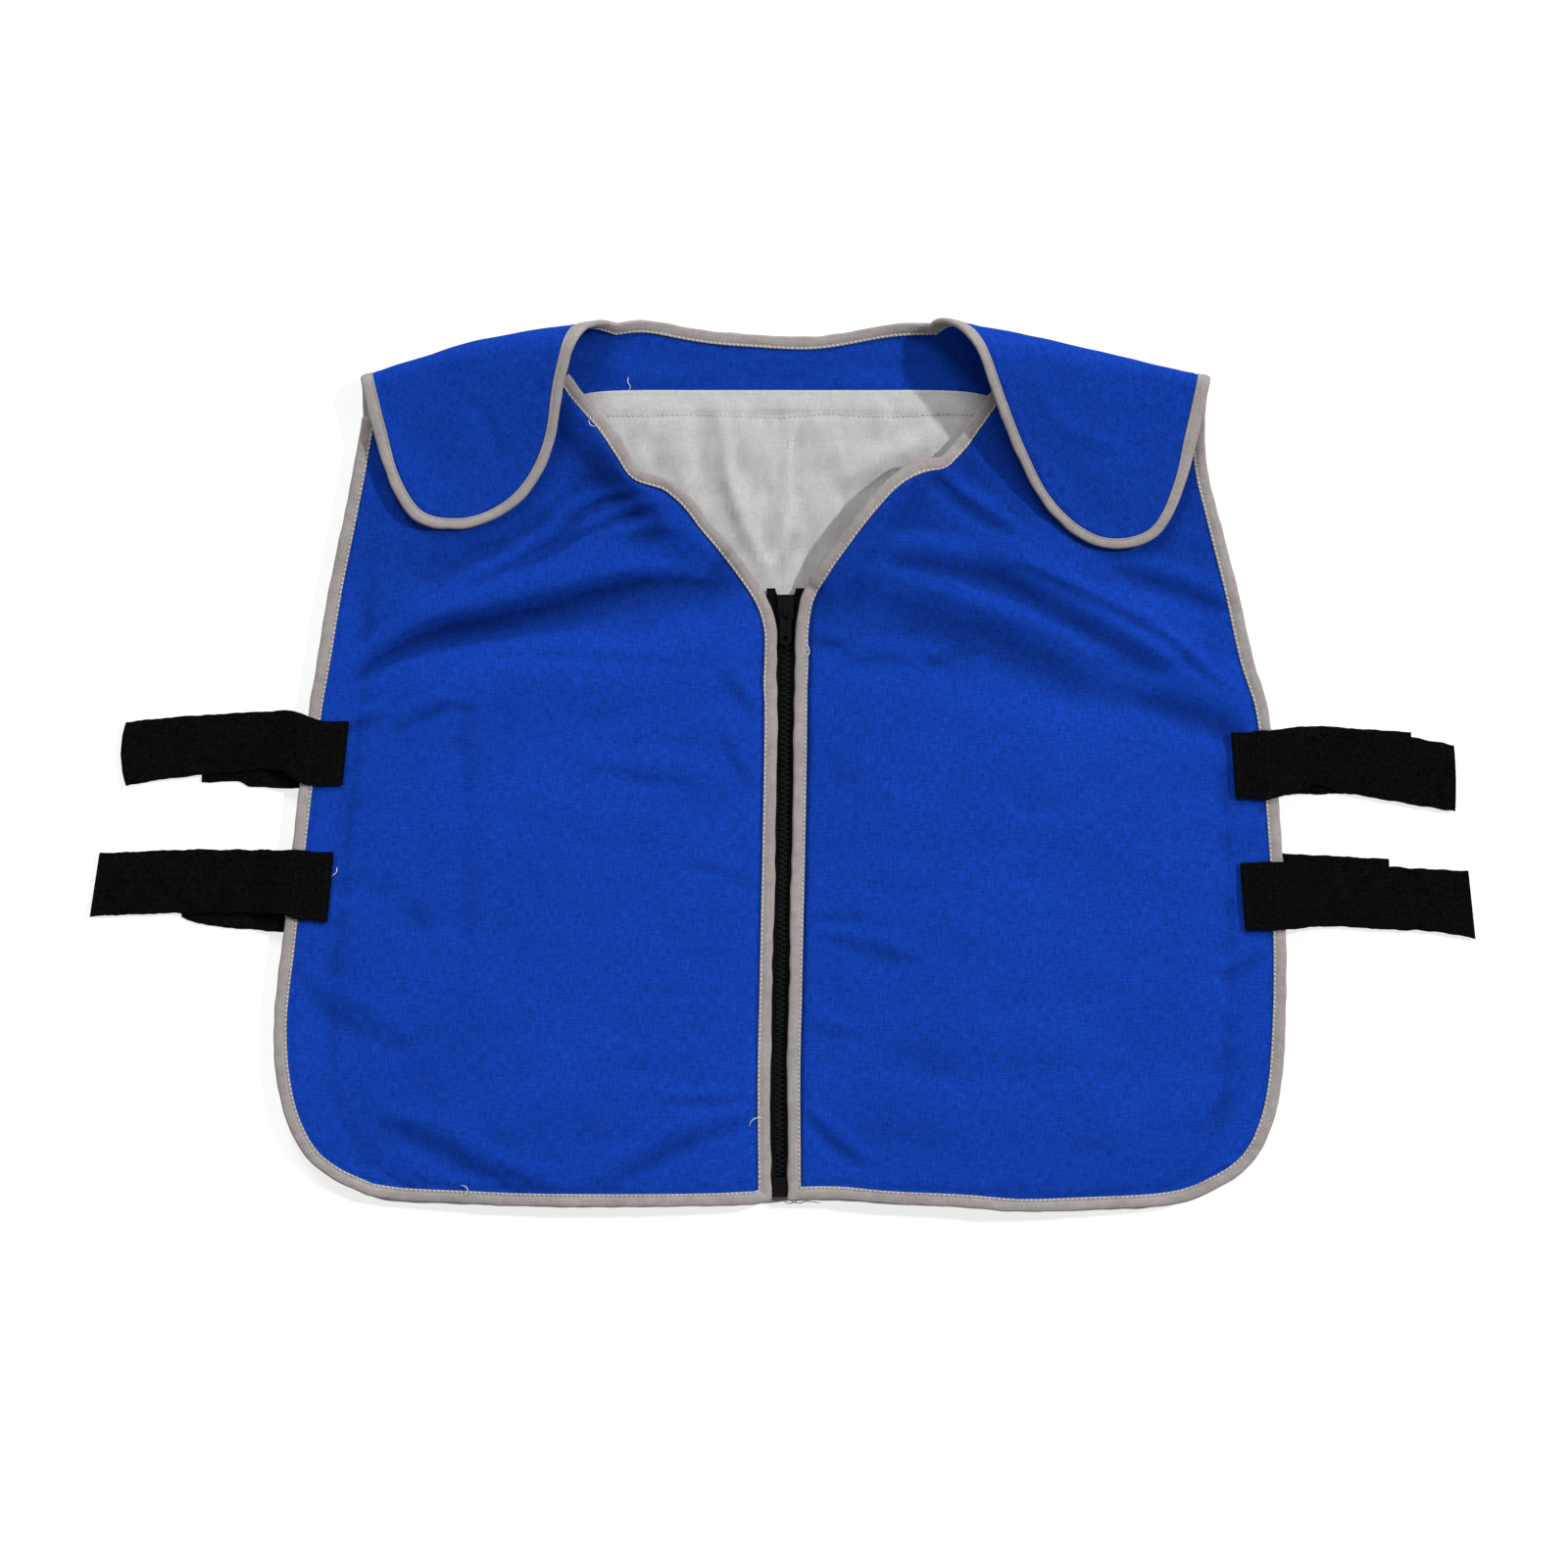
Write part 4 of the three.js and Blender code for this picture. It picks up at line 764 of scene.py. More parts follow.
def front_edges(side):
    """Outline and inner line of one front at about 10 mm, side by side, anticlockwise from the
    outer end of the hem of the left front (mirrored for the right), its four runs, and the rows
    and columns of its grid."""
    rows = FRONT_ROWS[side]
    sign = FLAPS[side]["sign"]
    up = np.linspace(rows["side"][0], rows["side"][-1], FRONT_UP)
    across = np.linspace(0, 1, FRONT_ACROSS)
    front = through(rows["side"], rows["front"], up)
    outer = side_point(side, up)
    inner = front_point(side, front)
    ends = np.array([outer[0, 0], inner[0, 0]]) / HALF_WIDTH
    hem = hem_point(mixed(ends[0], ends[1], across))
    hem[0], hem[-1] = outer[0], inner[0]
    top = mixed(outer[-1], inner[-1], across[:, None])
    loop = np.concatenate([hem[:-1], inner[:-1], top[::-1][:-1], outer[::-1][:-1]])
    if sign > 0:
        rim = inset_loop(loop[::-1], BINDING_WIDTH)[::-1]
    else:
        rim = inset_loop(loop, BINDING_WIDTH)
    runs = np.cumsum([0, len(hem) - 1, len(inner) - 1, len(top) - 1, len(outer) - 1])
    return loop, rim, runs, up, across


def run_of(loop, runs, k):
    """The k-th run of a closed line, both its ends included."""
    return loop[np.arange(runs[k], runs[k + 1] + 1) % len(loop)]


def front_height(side, up, across):
    """Height of a front's middle plane without folds: edge to zip by a smooth step, plus the
    padding's crown × arch^0.8, arch being a half sine from the margin to the zip edge."""
    rows = FRONT_ROWS[side]
    arch = np.sin(math.pi * np.clip((across - FRONT_MARGIN) / (1 - FRONT_MARGIN), 0, 1))
    crown = through(rows["side"], rows["crown"], up)
    crease = through(rows["side"], rows["crease"], up)
    base = mixed(FRONT_EDGE_Z, FRONT_ZIP_Z, smooth(across))
    return base + crown * PUFF * arch**0.8 + crease * CREASE * arch


def front_wrinkles(side, x, y, rim_distance, strength):
    """Folds of one front and its slack: the drawn folds, and waves of three sizes that die out
    towards the edges."""
    calm = smooth(rim_distance / 30)
    slack = 0.5 * waves(x, y, 95, 11) + 0.2 * waves(x, y * 1.6, 42, 12)
    fine = 0.09 * waves(x, y, 17, 13) + 0.035 * waves(x, y * 1.5, 7, 14)
    drawn = creases(x, y, FRONT_FOLDS[side], strength) + creases(x, y, FRONT_SLOPES[side], strength, True)
    lifted = creases(x, y, FRONT_LIFTS[side], strength)
    return drawn * mixed(0.35, 1, smooth(rim_distance / 16)) + lifted + (slack + fine) * calm


def edge_pucker(x, y, distance):
    """Short tucks that the stitching draws in beside a binding, and the groove along it."""
    tucks = 0.32 * waves(x, y, 12, 21) * np.exp(-((distance / 8) ** 2))
    return tucks * smooth(distance / 2.5) - 0.35 * np.exp(-(((distance - 1.2) / 1.6) ** 2))


def front_grid(side, strength):
    """Fine grid of one front, its heights, and its outline along each side of the grid."""
    loop, rim, runs, up, across = front_edges(side)
    low, zip_side, top, outer = (run_of(rim, runs, k) for k in range(4))
    top, outer = top[::-1], outer[::-1]
    u, v = across[None, :, None], np.linspace(0, 1, len(up))[:, None, None]
    sides = mixed(outer[:, None], zip_side[:, None], u)
    ends = mixed(low[None], top[None], v)
    corners = mixed(mixed(low[0], low[-1], u), mixed(top[0], top[-1], u), v)
    at_up, at_across = finer(up, FRONT_PARTS), finer(across, FRONT_PARTS)
    spots = refined(sides + ends - corners, up, across, at_up, at_across)
    z = front_height(side, at_up[:, None], at_across[None, :])
    from_side = np.minimum(at_across, 1 - at_across) * FRONT_WIDTH
    from_end = np.minimum(at_up - at_up[0], at_up[-1] - at_up) * BODY_LENGTH
    gap = np.minimum(from_side, from_end[:, None])
    x, y = spots[..., 0], spots[..., 1]
    z = z + front_wrinkles(side, x, y, gap, strength) + edge_pucker(x, y, gap)
    tucks = [refined_run(loop, runs, k, (at_across, at_up)[k % 2], (across, up)[k % 2]) for k in range(4)]
    return spots, z, tucks


def refined_run(loop, runs, k, at, knots):
    """A run of the outline at the fine rows or columns, in the direction of the grid."""
    points = run_of(loop, runs, k)
    if k > 1:
        points = points[::-1]
    return through(knots, points, at)


def with_tuck(spots, z, tucks):
    """The grid with one more row and column all round: the cloth that runs on into the binding."""
    wide = np.pad(spots, ((1, 1), (1, 1), (0, 0)), mode="edge")
    outline = wide.copy()
    low, right, top, left = tucks
    outline[0, 1:-1], outline[-1, 1:-1] = low, top
    outline[:, 0] = np.pad(left, ((1, 1), (0, 0)), mode="edge")
    outline[:, -1] = np.pad(right, ((1, 1), (0, 0)), mode="edge")
    return mixed(wide, outline, TUCK), np.pad(z, 1, mode="edge")


def band_rings(outer, inner, z, place, sizes):
    """Rings of a binding: a folded tape whose profile is given as (out, h), out running from its
    inner edge to the fold and h above the cloth's middle, with a slow uneven width and height."""
    wide = BINDING_WIDTH
    cloth, tape = SLEEVE, sizes.binding_thickness * 1000
    reach = cloth + tape
    bend = np.linspace(math.pi / 2, -math.pi / 2, 9)
    outside = np.stack([wide - reach * (1 - np.cos(bend)), reach * 1.1 * np.sin(bend)], 1)
    upper = np.array([
        (1.3, cloth - 0.1), (1.0, cloth + 0.4 * tape), (1.25, reach * 0.98), (1.7, reach * 1.06),
        (2.2, reach * 0.98), (2.6, reach * 0.86), (3.0, reach * 0.96), (3.8, reach * 1.14),
        (5.6, reach * 1.24),
    ])
    lower = upper[::-1] * (1, -1)
    channel = np.array([(wide - reach * 0.8, -cloth), (wide - reach * 0.5, 0), (wide - reach * 0.8, cloth)])
    profile = np.concatenate([upper, outside, lower, channel])
    station = along(outer)[:, None]
    out = profile[None, :, 0] / wide
    sway = 0.035 * waves(station, 0 * station, 70, 31) + 0.02 * waves(station, 0 * station, 17, 32)
    out = out * (1 + sway * np.abs(out))
    pucker = 0.13 * waves(station, profile[None, :, 0], 9, 33) * np.clip(profile[None, :, 1], 0, 1)
    spot = mixed(inner[:, None], outer[:, None], out[..., None])
    return place(spot, z[:, None] + 0 * out, profile[None, :, 1] + pucker)


def edge_lines(loop, rim, breaks, step):
    """The outline and the inner line of a binding at even small steps. They are smooth curves
    between the breaks, which stay corners, and both read at the same share of the outline."""
    breaks = sorted(breaks)
    outers, inners, shares, starts = [], [], [], [0]
    for k, first in enumerate(breaks):
        last = breaks[k + 1] if k + 1 < len(breaks) else breaks[0] + len(loop)
        number = np.arange(first, last + 1)
        points = loop[number % len(loop)]
        knots = along(points)
        at = spread(0, knots[-1], step)[:-1]
        outers.append(through(knots, points, at))
        inners.append(through(knots, rim[number % len(loop)], at))
        shares.append(np.interp(at, knots, number))
        starts.append(starts[-1] + len(at))
    return np.concatenate(outers), np.concatenate(inners), np.concatenate(shares) % len(loop), starts[:-1]


def softened(line, breaks, width):
    """A closed line of even steps with its corners rounded: each run between two breaks is
    averaged with Gaussian weights, and mirrored past its ends, which stay."""
    weights = np.exp(-0.5 * (np.arange(-3 * width, 3 * width + 1) / width) ** 2)
    weights /= weights.sum()
    reach = 3 * width
    done = line.copy()
    for first, last in zip(breaks, list(breaks[1:]) + [breaks[0] + len(line)]):
        number = np.arange(first, last + 1) % len(line)
        run = line[number]
        before = 2 * run[0] - run[reach:0:-1]
        after = 2 * run[-1] - run[-2:-reach - 2:-1]
        padded = np.concatenate([before, run, after])
        done[number] = np.stack([np.convolve(padded[:, k], weights, "valid") for k in (0, 1)], 1)
    return done


def binding_piece(name, outer, inner, level, place, sizes, replaces):
    """A folded binding along its two lines. Its texture is 30 mm wide and as long as it is."""
    rings = band_rings(outer, inner, level, place, sizes)
    vertices, faces = skin(rings, loop=True)
    uv = np.broadcast_arrays(np.linspace(0, 30, rings.shape[1]), along(outer)[:, None])
    uv = np.stack(uv, -1).reshape(-1, 2)
    return piece_of(name, vertices, faces, "grey binding tape", "grey_binding", replaces, uv)


def stitch_piece(name, inner, outer, z, place, sizes):
    """The stitches along a binding, one in each pitch of its length, slanting away from its inner
    edge."""
    pitch = sizes.stitch_pitch * 1000
    height = SLEEVE + sizes.binding_thickness * 1000
    length = along(inner)
    begin = np.arange(int(length[-1] / pitch)) * pitch

    def at(s, h, offset):
        i, o = (np.stack([np.interp(s, length, line[:, k]) for k in (0, 1)], 1) for line in (inner, outer))
        return place(mixed(i, o, offset / BINDING_WIDTH), np.interp(s, length, z), h)

    start, end = at(begin, height, STITCH_FROM), at(begin + pitch * 0.6, height, STITCH_TO)
    up = at(begin, height + 1, STITCH_FROM) - start
    vertices, faces = beads(start, end, BINDING_STITCH, up, rings=3, sides=6)
    return piece_of(name, vertices, faces, "pale sewing thread", "grey_binding")


# Materials


def fill(tree, made, inputs):
    """Sets the sockets of a node to values, or links them to other sockets."""
    for key, value in inputs.items():
        if isinstance(value, bpy.types.NodeSocket):
            tree.links.new(value, made.inputs[key])
        else:
            made.inputs[key].default_value = value


def node(tree, kind, inputs=None, **settings):
    """A shader node, placed in rows of six in the editor, with its settings and its inputs."""
    made = tree.nodes.new("ShaderNode" + kind)
    row, column = divmod(len(tree.nodes), 6)
    made.location = (240 * column - 1200, 400 - 320 * row)
    for key, value in settings.items():
        setattr(made, key, value)
    fill(tree, made, inputs or {})
    return made


def calculated(tree, operation, *values):
    return node(tree, "Math", dict(enumerate(values)), operation=operation).outputs[0]


def ranged(tree, value, low, high, start=0.0, end=1.0):
    """The value, carried from start…end to low…high."""
    return node(tree, "MapRange", {0: value, 1: start, 2: end, 3: low, 4: high}).outputs[0]


def noise(tree, vector, scale, detail, roughness=0.5):
    inputs = {"Vector": vector, "Scale": scale, "Detail": detail, "Roughness": roughness}
    return node(tree, "TexNoise", inputs).outputs[0]


def blended(tree, share, first, second, how="MIX"):
    inputs = {0: share, 6: first, 7: second}
    return node(tree, "Mix", inputs, data_type="RGBA", blend_type=how).outputs[2]


def bumped(tree, height, strength, distance):
    return node(tree, "Bump", {"Height": height, "Strength": strength, "Distance": distance}).outputs[0]


def shared(tree, name, vector, **inputs):
    """The outputs of a shared node group. A low line in an input's name stands for a space."""
    given = {"Vector": vector, **{key.replace("_", " "): value for key, value in inputs.items()}}
    return node(tree, "Group", given, node_tree=bpy.data.node_groups[name]).outputs


def new_group(name, inputs, outputs):
    """An empty shader node group: a vector and named numbers with their defaults go in, and named
    numbers come out. Returns the group and the sockets of both its ends."""
    group = bpy.data.node_groups.new(name, "ShaderNodeTree")
    group.interface.new_socket("Vector", in_out="INPUT", socket_type="NodeSocketVector")
    for socket, default in inputs.items():
        made = group.interface.new_socket(socket, in_out="INPUT", socket_type="NodeSocketFloat")
        made.default_value = default
    for socket in outputs:
        group.interface.new_socket(socket, in_out="OUTPUT", socket_type="NodeSocketFloat")
    return group, group.nodes.new("NodeGroupInput").outputs, group.nodes.new("NodeGroupOutput").inputs


def weave_group():
    """Threads over and under each other: height is sin(πx) · sin(πy) of the thread numbers, where
    x gains slant × y, softened by the unevenness of the yarn."""
    inputs = {"Threads": 1700.0, "Slant": 0.0, "Slub": 0.5}
    group, given, made = new_group("Woven Threads", inputs, ("Height", "Shade"))
    split = node(group, "SeparateXYZ", {0: given["Vector"]}).outputs
    bent = calculated(group, "MULTIPLY", noise(group, given["Vector"], 420.0, 3.0), 0.0006)
    slanted = calculated(group, "MULTIPLY_ADD", split[1], given["Slant"], split[0])
    waved = []
    for way in (slanted, split[1]):
        turns = calculated(group, "MULTIPLY", calculated(group, "ADD", way, bent), given["Threads"])
        waved.append(calculated(group, "SINE", calculated(group, "MULTIPLY", turns, math.pi)))
    weave = calculated(group, "MULTIPLY", *waved)
    uneven = calculated(group, "MULTIPLY", noise(group, given["Vector"], 900.0, 4.0), given["Slub"])
    height = calculated(group, "MULTIPLY_ADD", weave, 0.5, uneven)
    group.links.new(height, made["Height"])
    group.links.new(ranged(group, height, 0.0, 1.0, -0.4, 0.9), made["Shade"])


def streak_group():
    """Thick and thin yarns: two noises, one drawn out along each way of the cloth, averaged."""
    group, given, made = new_group("Yarn Streaks", {"Fine": 950.0, "Long": 170.0}, ("Factor",))
    found = []
    for x, y in (("Fine", "Long"), ("Long", "Fine")):
        drawn = node(group, "CombineXYZ", {0: given[x], 1: given[y], 2: given["Fine"]}).outputs[0]
        scaled = node(group, "VectorMath", {0: given["Vector"], 1: drawn}, operation="MULTIPLY")
        found.append(noise(group, scaled.outputs[0], 1.0, 2.0))
    total = calculated(group, "ADD", *found)
    group.links.new(ranged(group, total, 0.0, 1.0, 0.7, 1.3), made["Factor"])


def dye_group():
    """Uneven dye and handling: two noises of different size, mixed and spread to 0…1."""
    inputs = {"Size": 18.0, "Fine Size": 160.0, "Fine Share": 0.4}
    group, given, made = new_group("Uneven Dye", inputs, ("Factor",))
    large = noise(group, given["Vector"], given["Size"], 3.0)
    small = noise(group, given["Vector"], given["Fine Size"], 4.0, 0.65)
    both = node(group, "Mix", {0: given["Fine Share"], 2: large, 3: small}).outputs[0]
    group.links.new(ranged(group, both, 0.0, 1.0, 0.32, 0.68), made["Factor"])


def fuzz_group():
    """Loose fibres and pile: fine noise less the distance in a pattern of cells, as a height, and
    a mask of the fibre tips."""
    group, given, made = new_group("Fibre Fuzz", {"Size": 1400.0, "Tips": 0.6}, ("Height", "Tip Mask"))
    pile = noise(group, given["Vector"], given["Size"], 5.0, 0.7)
    cells = node(group, "TexVoronoi", {"Vector": given["Vector"], "Scale": given["Size"]})
    height = calculated(group, "SUBTRACT", pile, cells.outputs["Distance"])
    group.links.new(height, made["Height"])
    group.links.new(ranged(group, pile, 0.0, 1.0, given["Tips"], 0.85), made["Tip Mask"])


def colour(value, light=1.0):
    return [min(1.0, c * light) for c in value[:3]] + [1.0]


def new_material(name):
    """The node tree and the shader of a new material."""
    material = bpy.data.materials.new(name)
    material.use_nodes = True
    return material.node_tree, material.node_tree.nodes["Principled BSDF"]


def cloth_material(name, shades, threads=1700.0, slant=0.0, bump=0.25, depth=0.0002, rough=0.9,
                   sheen=0.1, mottle=0.5, fuzz=0.3, coordinates="UV", dye_size=18.0,
                   dye_fine=160.0, streaks=0.1, tips=0.0):
    """Woven cloth: two shades mixed by the uneven dye, darkened between the threads and in thin yarns,
    and by the painted shade that a vertex may carry, with the threads and loose fibres as bump."""
    tree, shader = new_material(name)
    coords = node(tree, "TexCoord").outputs
    where, place = coords[coordinates], coords["Object"]
    dye = shared(tree, "Uneven Dye", place, Size=dye_size, Fine_Size=dye_fine)["Factor"]
    woven = shared(tree, "Woven Threads", where, Threads=threads, Slant=slant)
    fibre = shared(tree, "Fibre Fuzz", place)
    yarn = shared(tree, "Yarn Streaks", where)["Factor"]
    tint = blended(tree, calculated(tree, "MULTIPLY", dye, mottle), colour(shades[0]), colour(shades[1]))
    # Painted shade: a vertex's share darkens the colour down to 0.6 of it; none where a piece has no share
    painted_darkening = node(tree, "Attribute", attribute_name="painted_shade").outputs["Fac"]
    yarns = ranged(tree, yarn, 1 - streaks, 1 + streaks)
    dark = calculated(tree, "MULTIPLY", ranged(tree, painted_darkening, 1.0, 0.6), yarns)
    dark = calculated(tree, "MULTIPLY", ranged(tree, woven["Shade"], 0.82, 1.06), dark)
    grey = node(tree, "CombineColor", {0: dark, 1: dark, 2: dark}).outputs[0]
    bright = calculated(tree, "MULTIPLY", fibre["Tip Mask"], tips)
    lift = calculated(tree, "MULTIPLY_ADD", fibre["Height"], fuzz, woven["Height"])
    dyed = blended(tree, 1.0, tint, grey, "MULTIPLY")
    fill(tree, shader, {
        "Base Color": blended(tree, bright, dyed, (0.5, 0.5, 0.55, 1.0)),
        "Normal": bumped(tree, lift, bump, depth),
        "Roughness": ranged(tree, dye, rough - 0.06, min(1.0, rough + 0.06)),
        "Sheen Weight": sheen, "Sheen Roughness": 0.5, "Specular IOR Level": 0.03,
    })


def plastic_material(name, shade, rough=0.5):
    """Moulded plastic: a fine grain as bump and slightly uneven gloss."""
    tree, shader = new_material(name)
    place = node(tree, "TexCoord").outputs["Object"]
    dye = shared(tree, "Uneven Dye", place, Size=220.0)["Factor"]
    fill(tree, shader, {
        "Base Color": blended(tree, dye, colour(shade), colour(shade, 1.7)),
        "Normal": bumped(tree, noise(tree, place, 2600.0, 2.0), 0.15, 0.0001),
        "Roughness": ranged(tree, dye, rough - 0.08, rough + 0.1),
        "Specular IOR Level": 0.06,
    })


# Settings that a user would change


class VestSizes(bpy.types.PropertyGroup):
    fold_strength: FloatProperty(
        name="Fold strength", description="Share of the drawn folds' depth",
        default=1.0, min=0.0, max=2.0, subtype="FACTOR")
    binding_thickness: FloatProperty(
        name="Binding thickness", description="Thickness of the folded binding tape",
        default=0.0008, min=0.0003, max=0.0012, unit="LENGTH", precision=5)
    stitch_pitch: FloatProperty(
        name="Stitch pitch", description="Length of one stitch with its gap",
        default=0.0028, min=0.0015, max=0.006, unit="LENGTH", precision=5)
    tooth_pitch: FloatProperty(
        name="Tooth pitch", description="Distance from one zip tooth to the next on one side",
        default=0.0033, min=0.002, max=0.006, unit="LENGTH", precision=5)
    strap_sides: IntProperty(
        name="Strap sides", description="Points across one strap", default=36, min=12, max=80)


class VestColours(bpy.types.PropertyGroup):
    blue: FloatVectorProperty(
        name="Blue", description="Colour of the padded cotton",
        default=(0.0058, 0.0482, 0.387), subtype="COLOR", size=3, min=0, max=1)
    blue_shade: FloatVectorProperty(
        name="Blue shade", description="Darker dye of the padded cotton",
        default=(0.0046, 0.040, 0.332), subtype="COLOR", size=3, min=0, max=1)
    grey: FloatVectorProperty(
        name="Grey", description="Colour of the edge binding",
        default=(0.33, 0.30, 0.29), subtype="COLOR", size=3, min=0, max=1)
    pale: FloatVectorProperty(
        name="Pale", description="Colour of the lining",
        default=(0.49, 0.49, 0.495), subtype="COLOR", size=3, min=0, max=1)
    black: FloatVectorProperty(
        name="Black", description="Colour of straps, tape and zip",
        default=(0.0035, 0.0033, 0.0038), subtype="COLOR", size=3, min=0, max=1)
    floor: FloatVectorProperty(
        name="Floor", description="Colour of the studio floor",
        default=(0.34, 0.34, 0.34), subtype="COLOR", size=3, min=0, max=1)


def shades_of(value, low=0.82, high=1.14):
    """The two shades of an uneven dye: a colour times low and times high."""
    return [c * low for c in value], [min(1.0, c * high) for c in value]


# Operators


class VEST_OT_finishes(bpy.types.Operator):
    """Make the shared node groups and every material of the vest"""

    bl_idname = "vest.finishes"
    bl_label = "Finishes"

    def execute(self, context):
        colours = context.scene.vest_colours
        for group in (weave_group, dye_group, fuzz_group, streak_group):
            group()
        cloth_material("blue cotton", (colours.blue_shade, colours.blue), threads=1500, bump=0.35,
                       depth=0.00025, sheen=0.0, mottle=0.9, streaks=0.3, tips=0.05)
        cloth_material("grey binding tape", shades_of(colours.grey), threads=1900, slant=1.0,
                       bump=0.4, rough=0.88, mottle=0.8, dye_size=40.0)
        cloth_material("pale lining cloth", shades_of(colours.pale, 0.93, 1.05), threads=1300,
                       bump=0.2, rough=0.75, mottle=0.6)
        cloth_material("black hook and loop", shades_of(colours.black, 0.6, 3.0), threads=620, bump=1.0,
                       depth=0.0012, rough=0.95, sheen=0.0, mottle=1.0, fuzz=2.4, dye_size=420.0,
                       dye_fine=900.0, streaks=0.35)
        cloth_material("black zip tape", shades_of(colours.black, 0.8, 1.9), threads=1100, slant=1.0,
                       bump=0.5, rough=0.9, sheen=0.0, mottle=0.7)
        cloth_material("pale sewing thread", ((0.6, 0.59, 0.58), (0.78, 0.77, 0.76)), threads=2600,
                       bump=0.3, coordinates="Object")
        cloth_material("black sewing thread", shades_of(colours.black, 1.5, 3.0), threads=2600,
                       bump=0.3, coordinates="Object")
        plastic_material("black moulded plastic", colours.black)
        return {"FINISHED"}


class VEST_OT_back(bpy.types.Operator):
    """Make the back with its folded shoulder flaps, its binding and their stitches"""

    bl_idname = "vest.back"
    bl_label = "Back and shoulder flaps"

    def execute(self, context):
        build_back(context.scene.vest_sizes)
        return {"FINISHED"}


class VEST_OT_lining(bpy.types.Operator):
    """Make the pale lining inside the back, with its seams and soft folds"""

    bl_idname = "vest.lining"
    bl_label = "Lining"

    def execute(self, context):
        build_lining(context.scene.vest_sizes)
        return {"FINISHED"}


class VEST_OT_fronts(bpy.types.Operator):
    """Make both fronts, their bindings and their stitches"""

    bl_idname = "vest.fronts"
    bl_label = "Fronts"

    def execute(self, context):
        for side in FLAPS:
            build_front(side, context.scene.vest_sizes)
        return {"FINISHED"}


class VEST_OT_straps(bpy.types.Operator):
    """Make the eight side straps, and the stitches that hold the four on the fronts"""

    bl_idname = "vest.straps"
    bl_label = "Side straps"

    def execute(self, context):
        for name in STRAPS:
            build_strap(name, context.scene.vest_sizes)
        return {"FINISHED"}


class VEST_OT_zip(bpy.types.Operator):
    """Make the zip's tapes, single teeth and end film, and give its slider, pull and box black plastic"""

    bl_idname = "vest.zip"
    bl_label = "Zip"

    def execute(self, context):
        build_zip(context.scene.vest_sizes)
        return {"FINISHED"}


class VEST_OT_threads(bpy.types.Operator):
    """Make the few loose ends of thread"""

    bl_idname = "vest.threads"
    bl_label = "Loose ends"

    def execute(self, context):
        build_loose_ends()
        return {"FINISHED"}


class VEST_OT_studio(bpy.types.Operator):
    """Set up the pale floor, the light and the camera straight above"""

    bl_idname = "vest.studio"
    bl_label = "Studio"

    def execute(self, context):
        build_studio(context.scene)
        return {"FINISHED"}


class VEST_PT_sidebar(bpy.types.Panel):
    """Sizes, colours and steps of the vest"""

    bl_idname = "VEST_PT_sidebar"
    bl_label = "Cooling vest"
    bl_space_type = "VIEW_3D"
    bl_region_type = "UI"
    bl_category = "Vest"

    def draw(self, context):
        for group in (context.scene.vest_sizes, context.scene.vest_colours):
            box = self.layout.box()
            for name in group.__annotations__:
                box.prop(group, name)
        for step in STEPS:
            self.layout.operator(step.bl_idname)


# Pieces


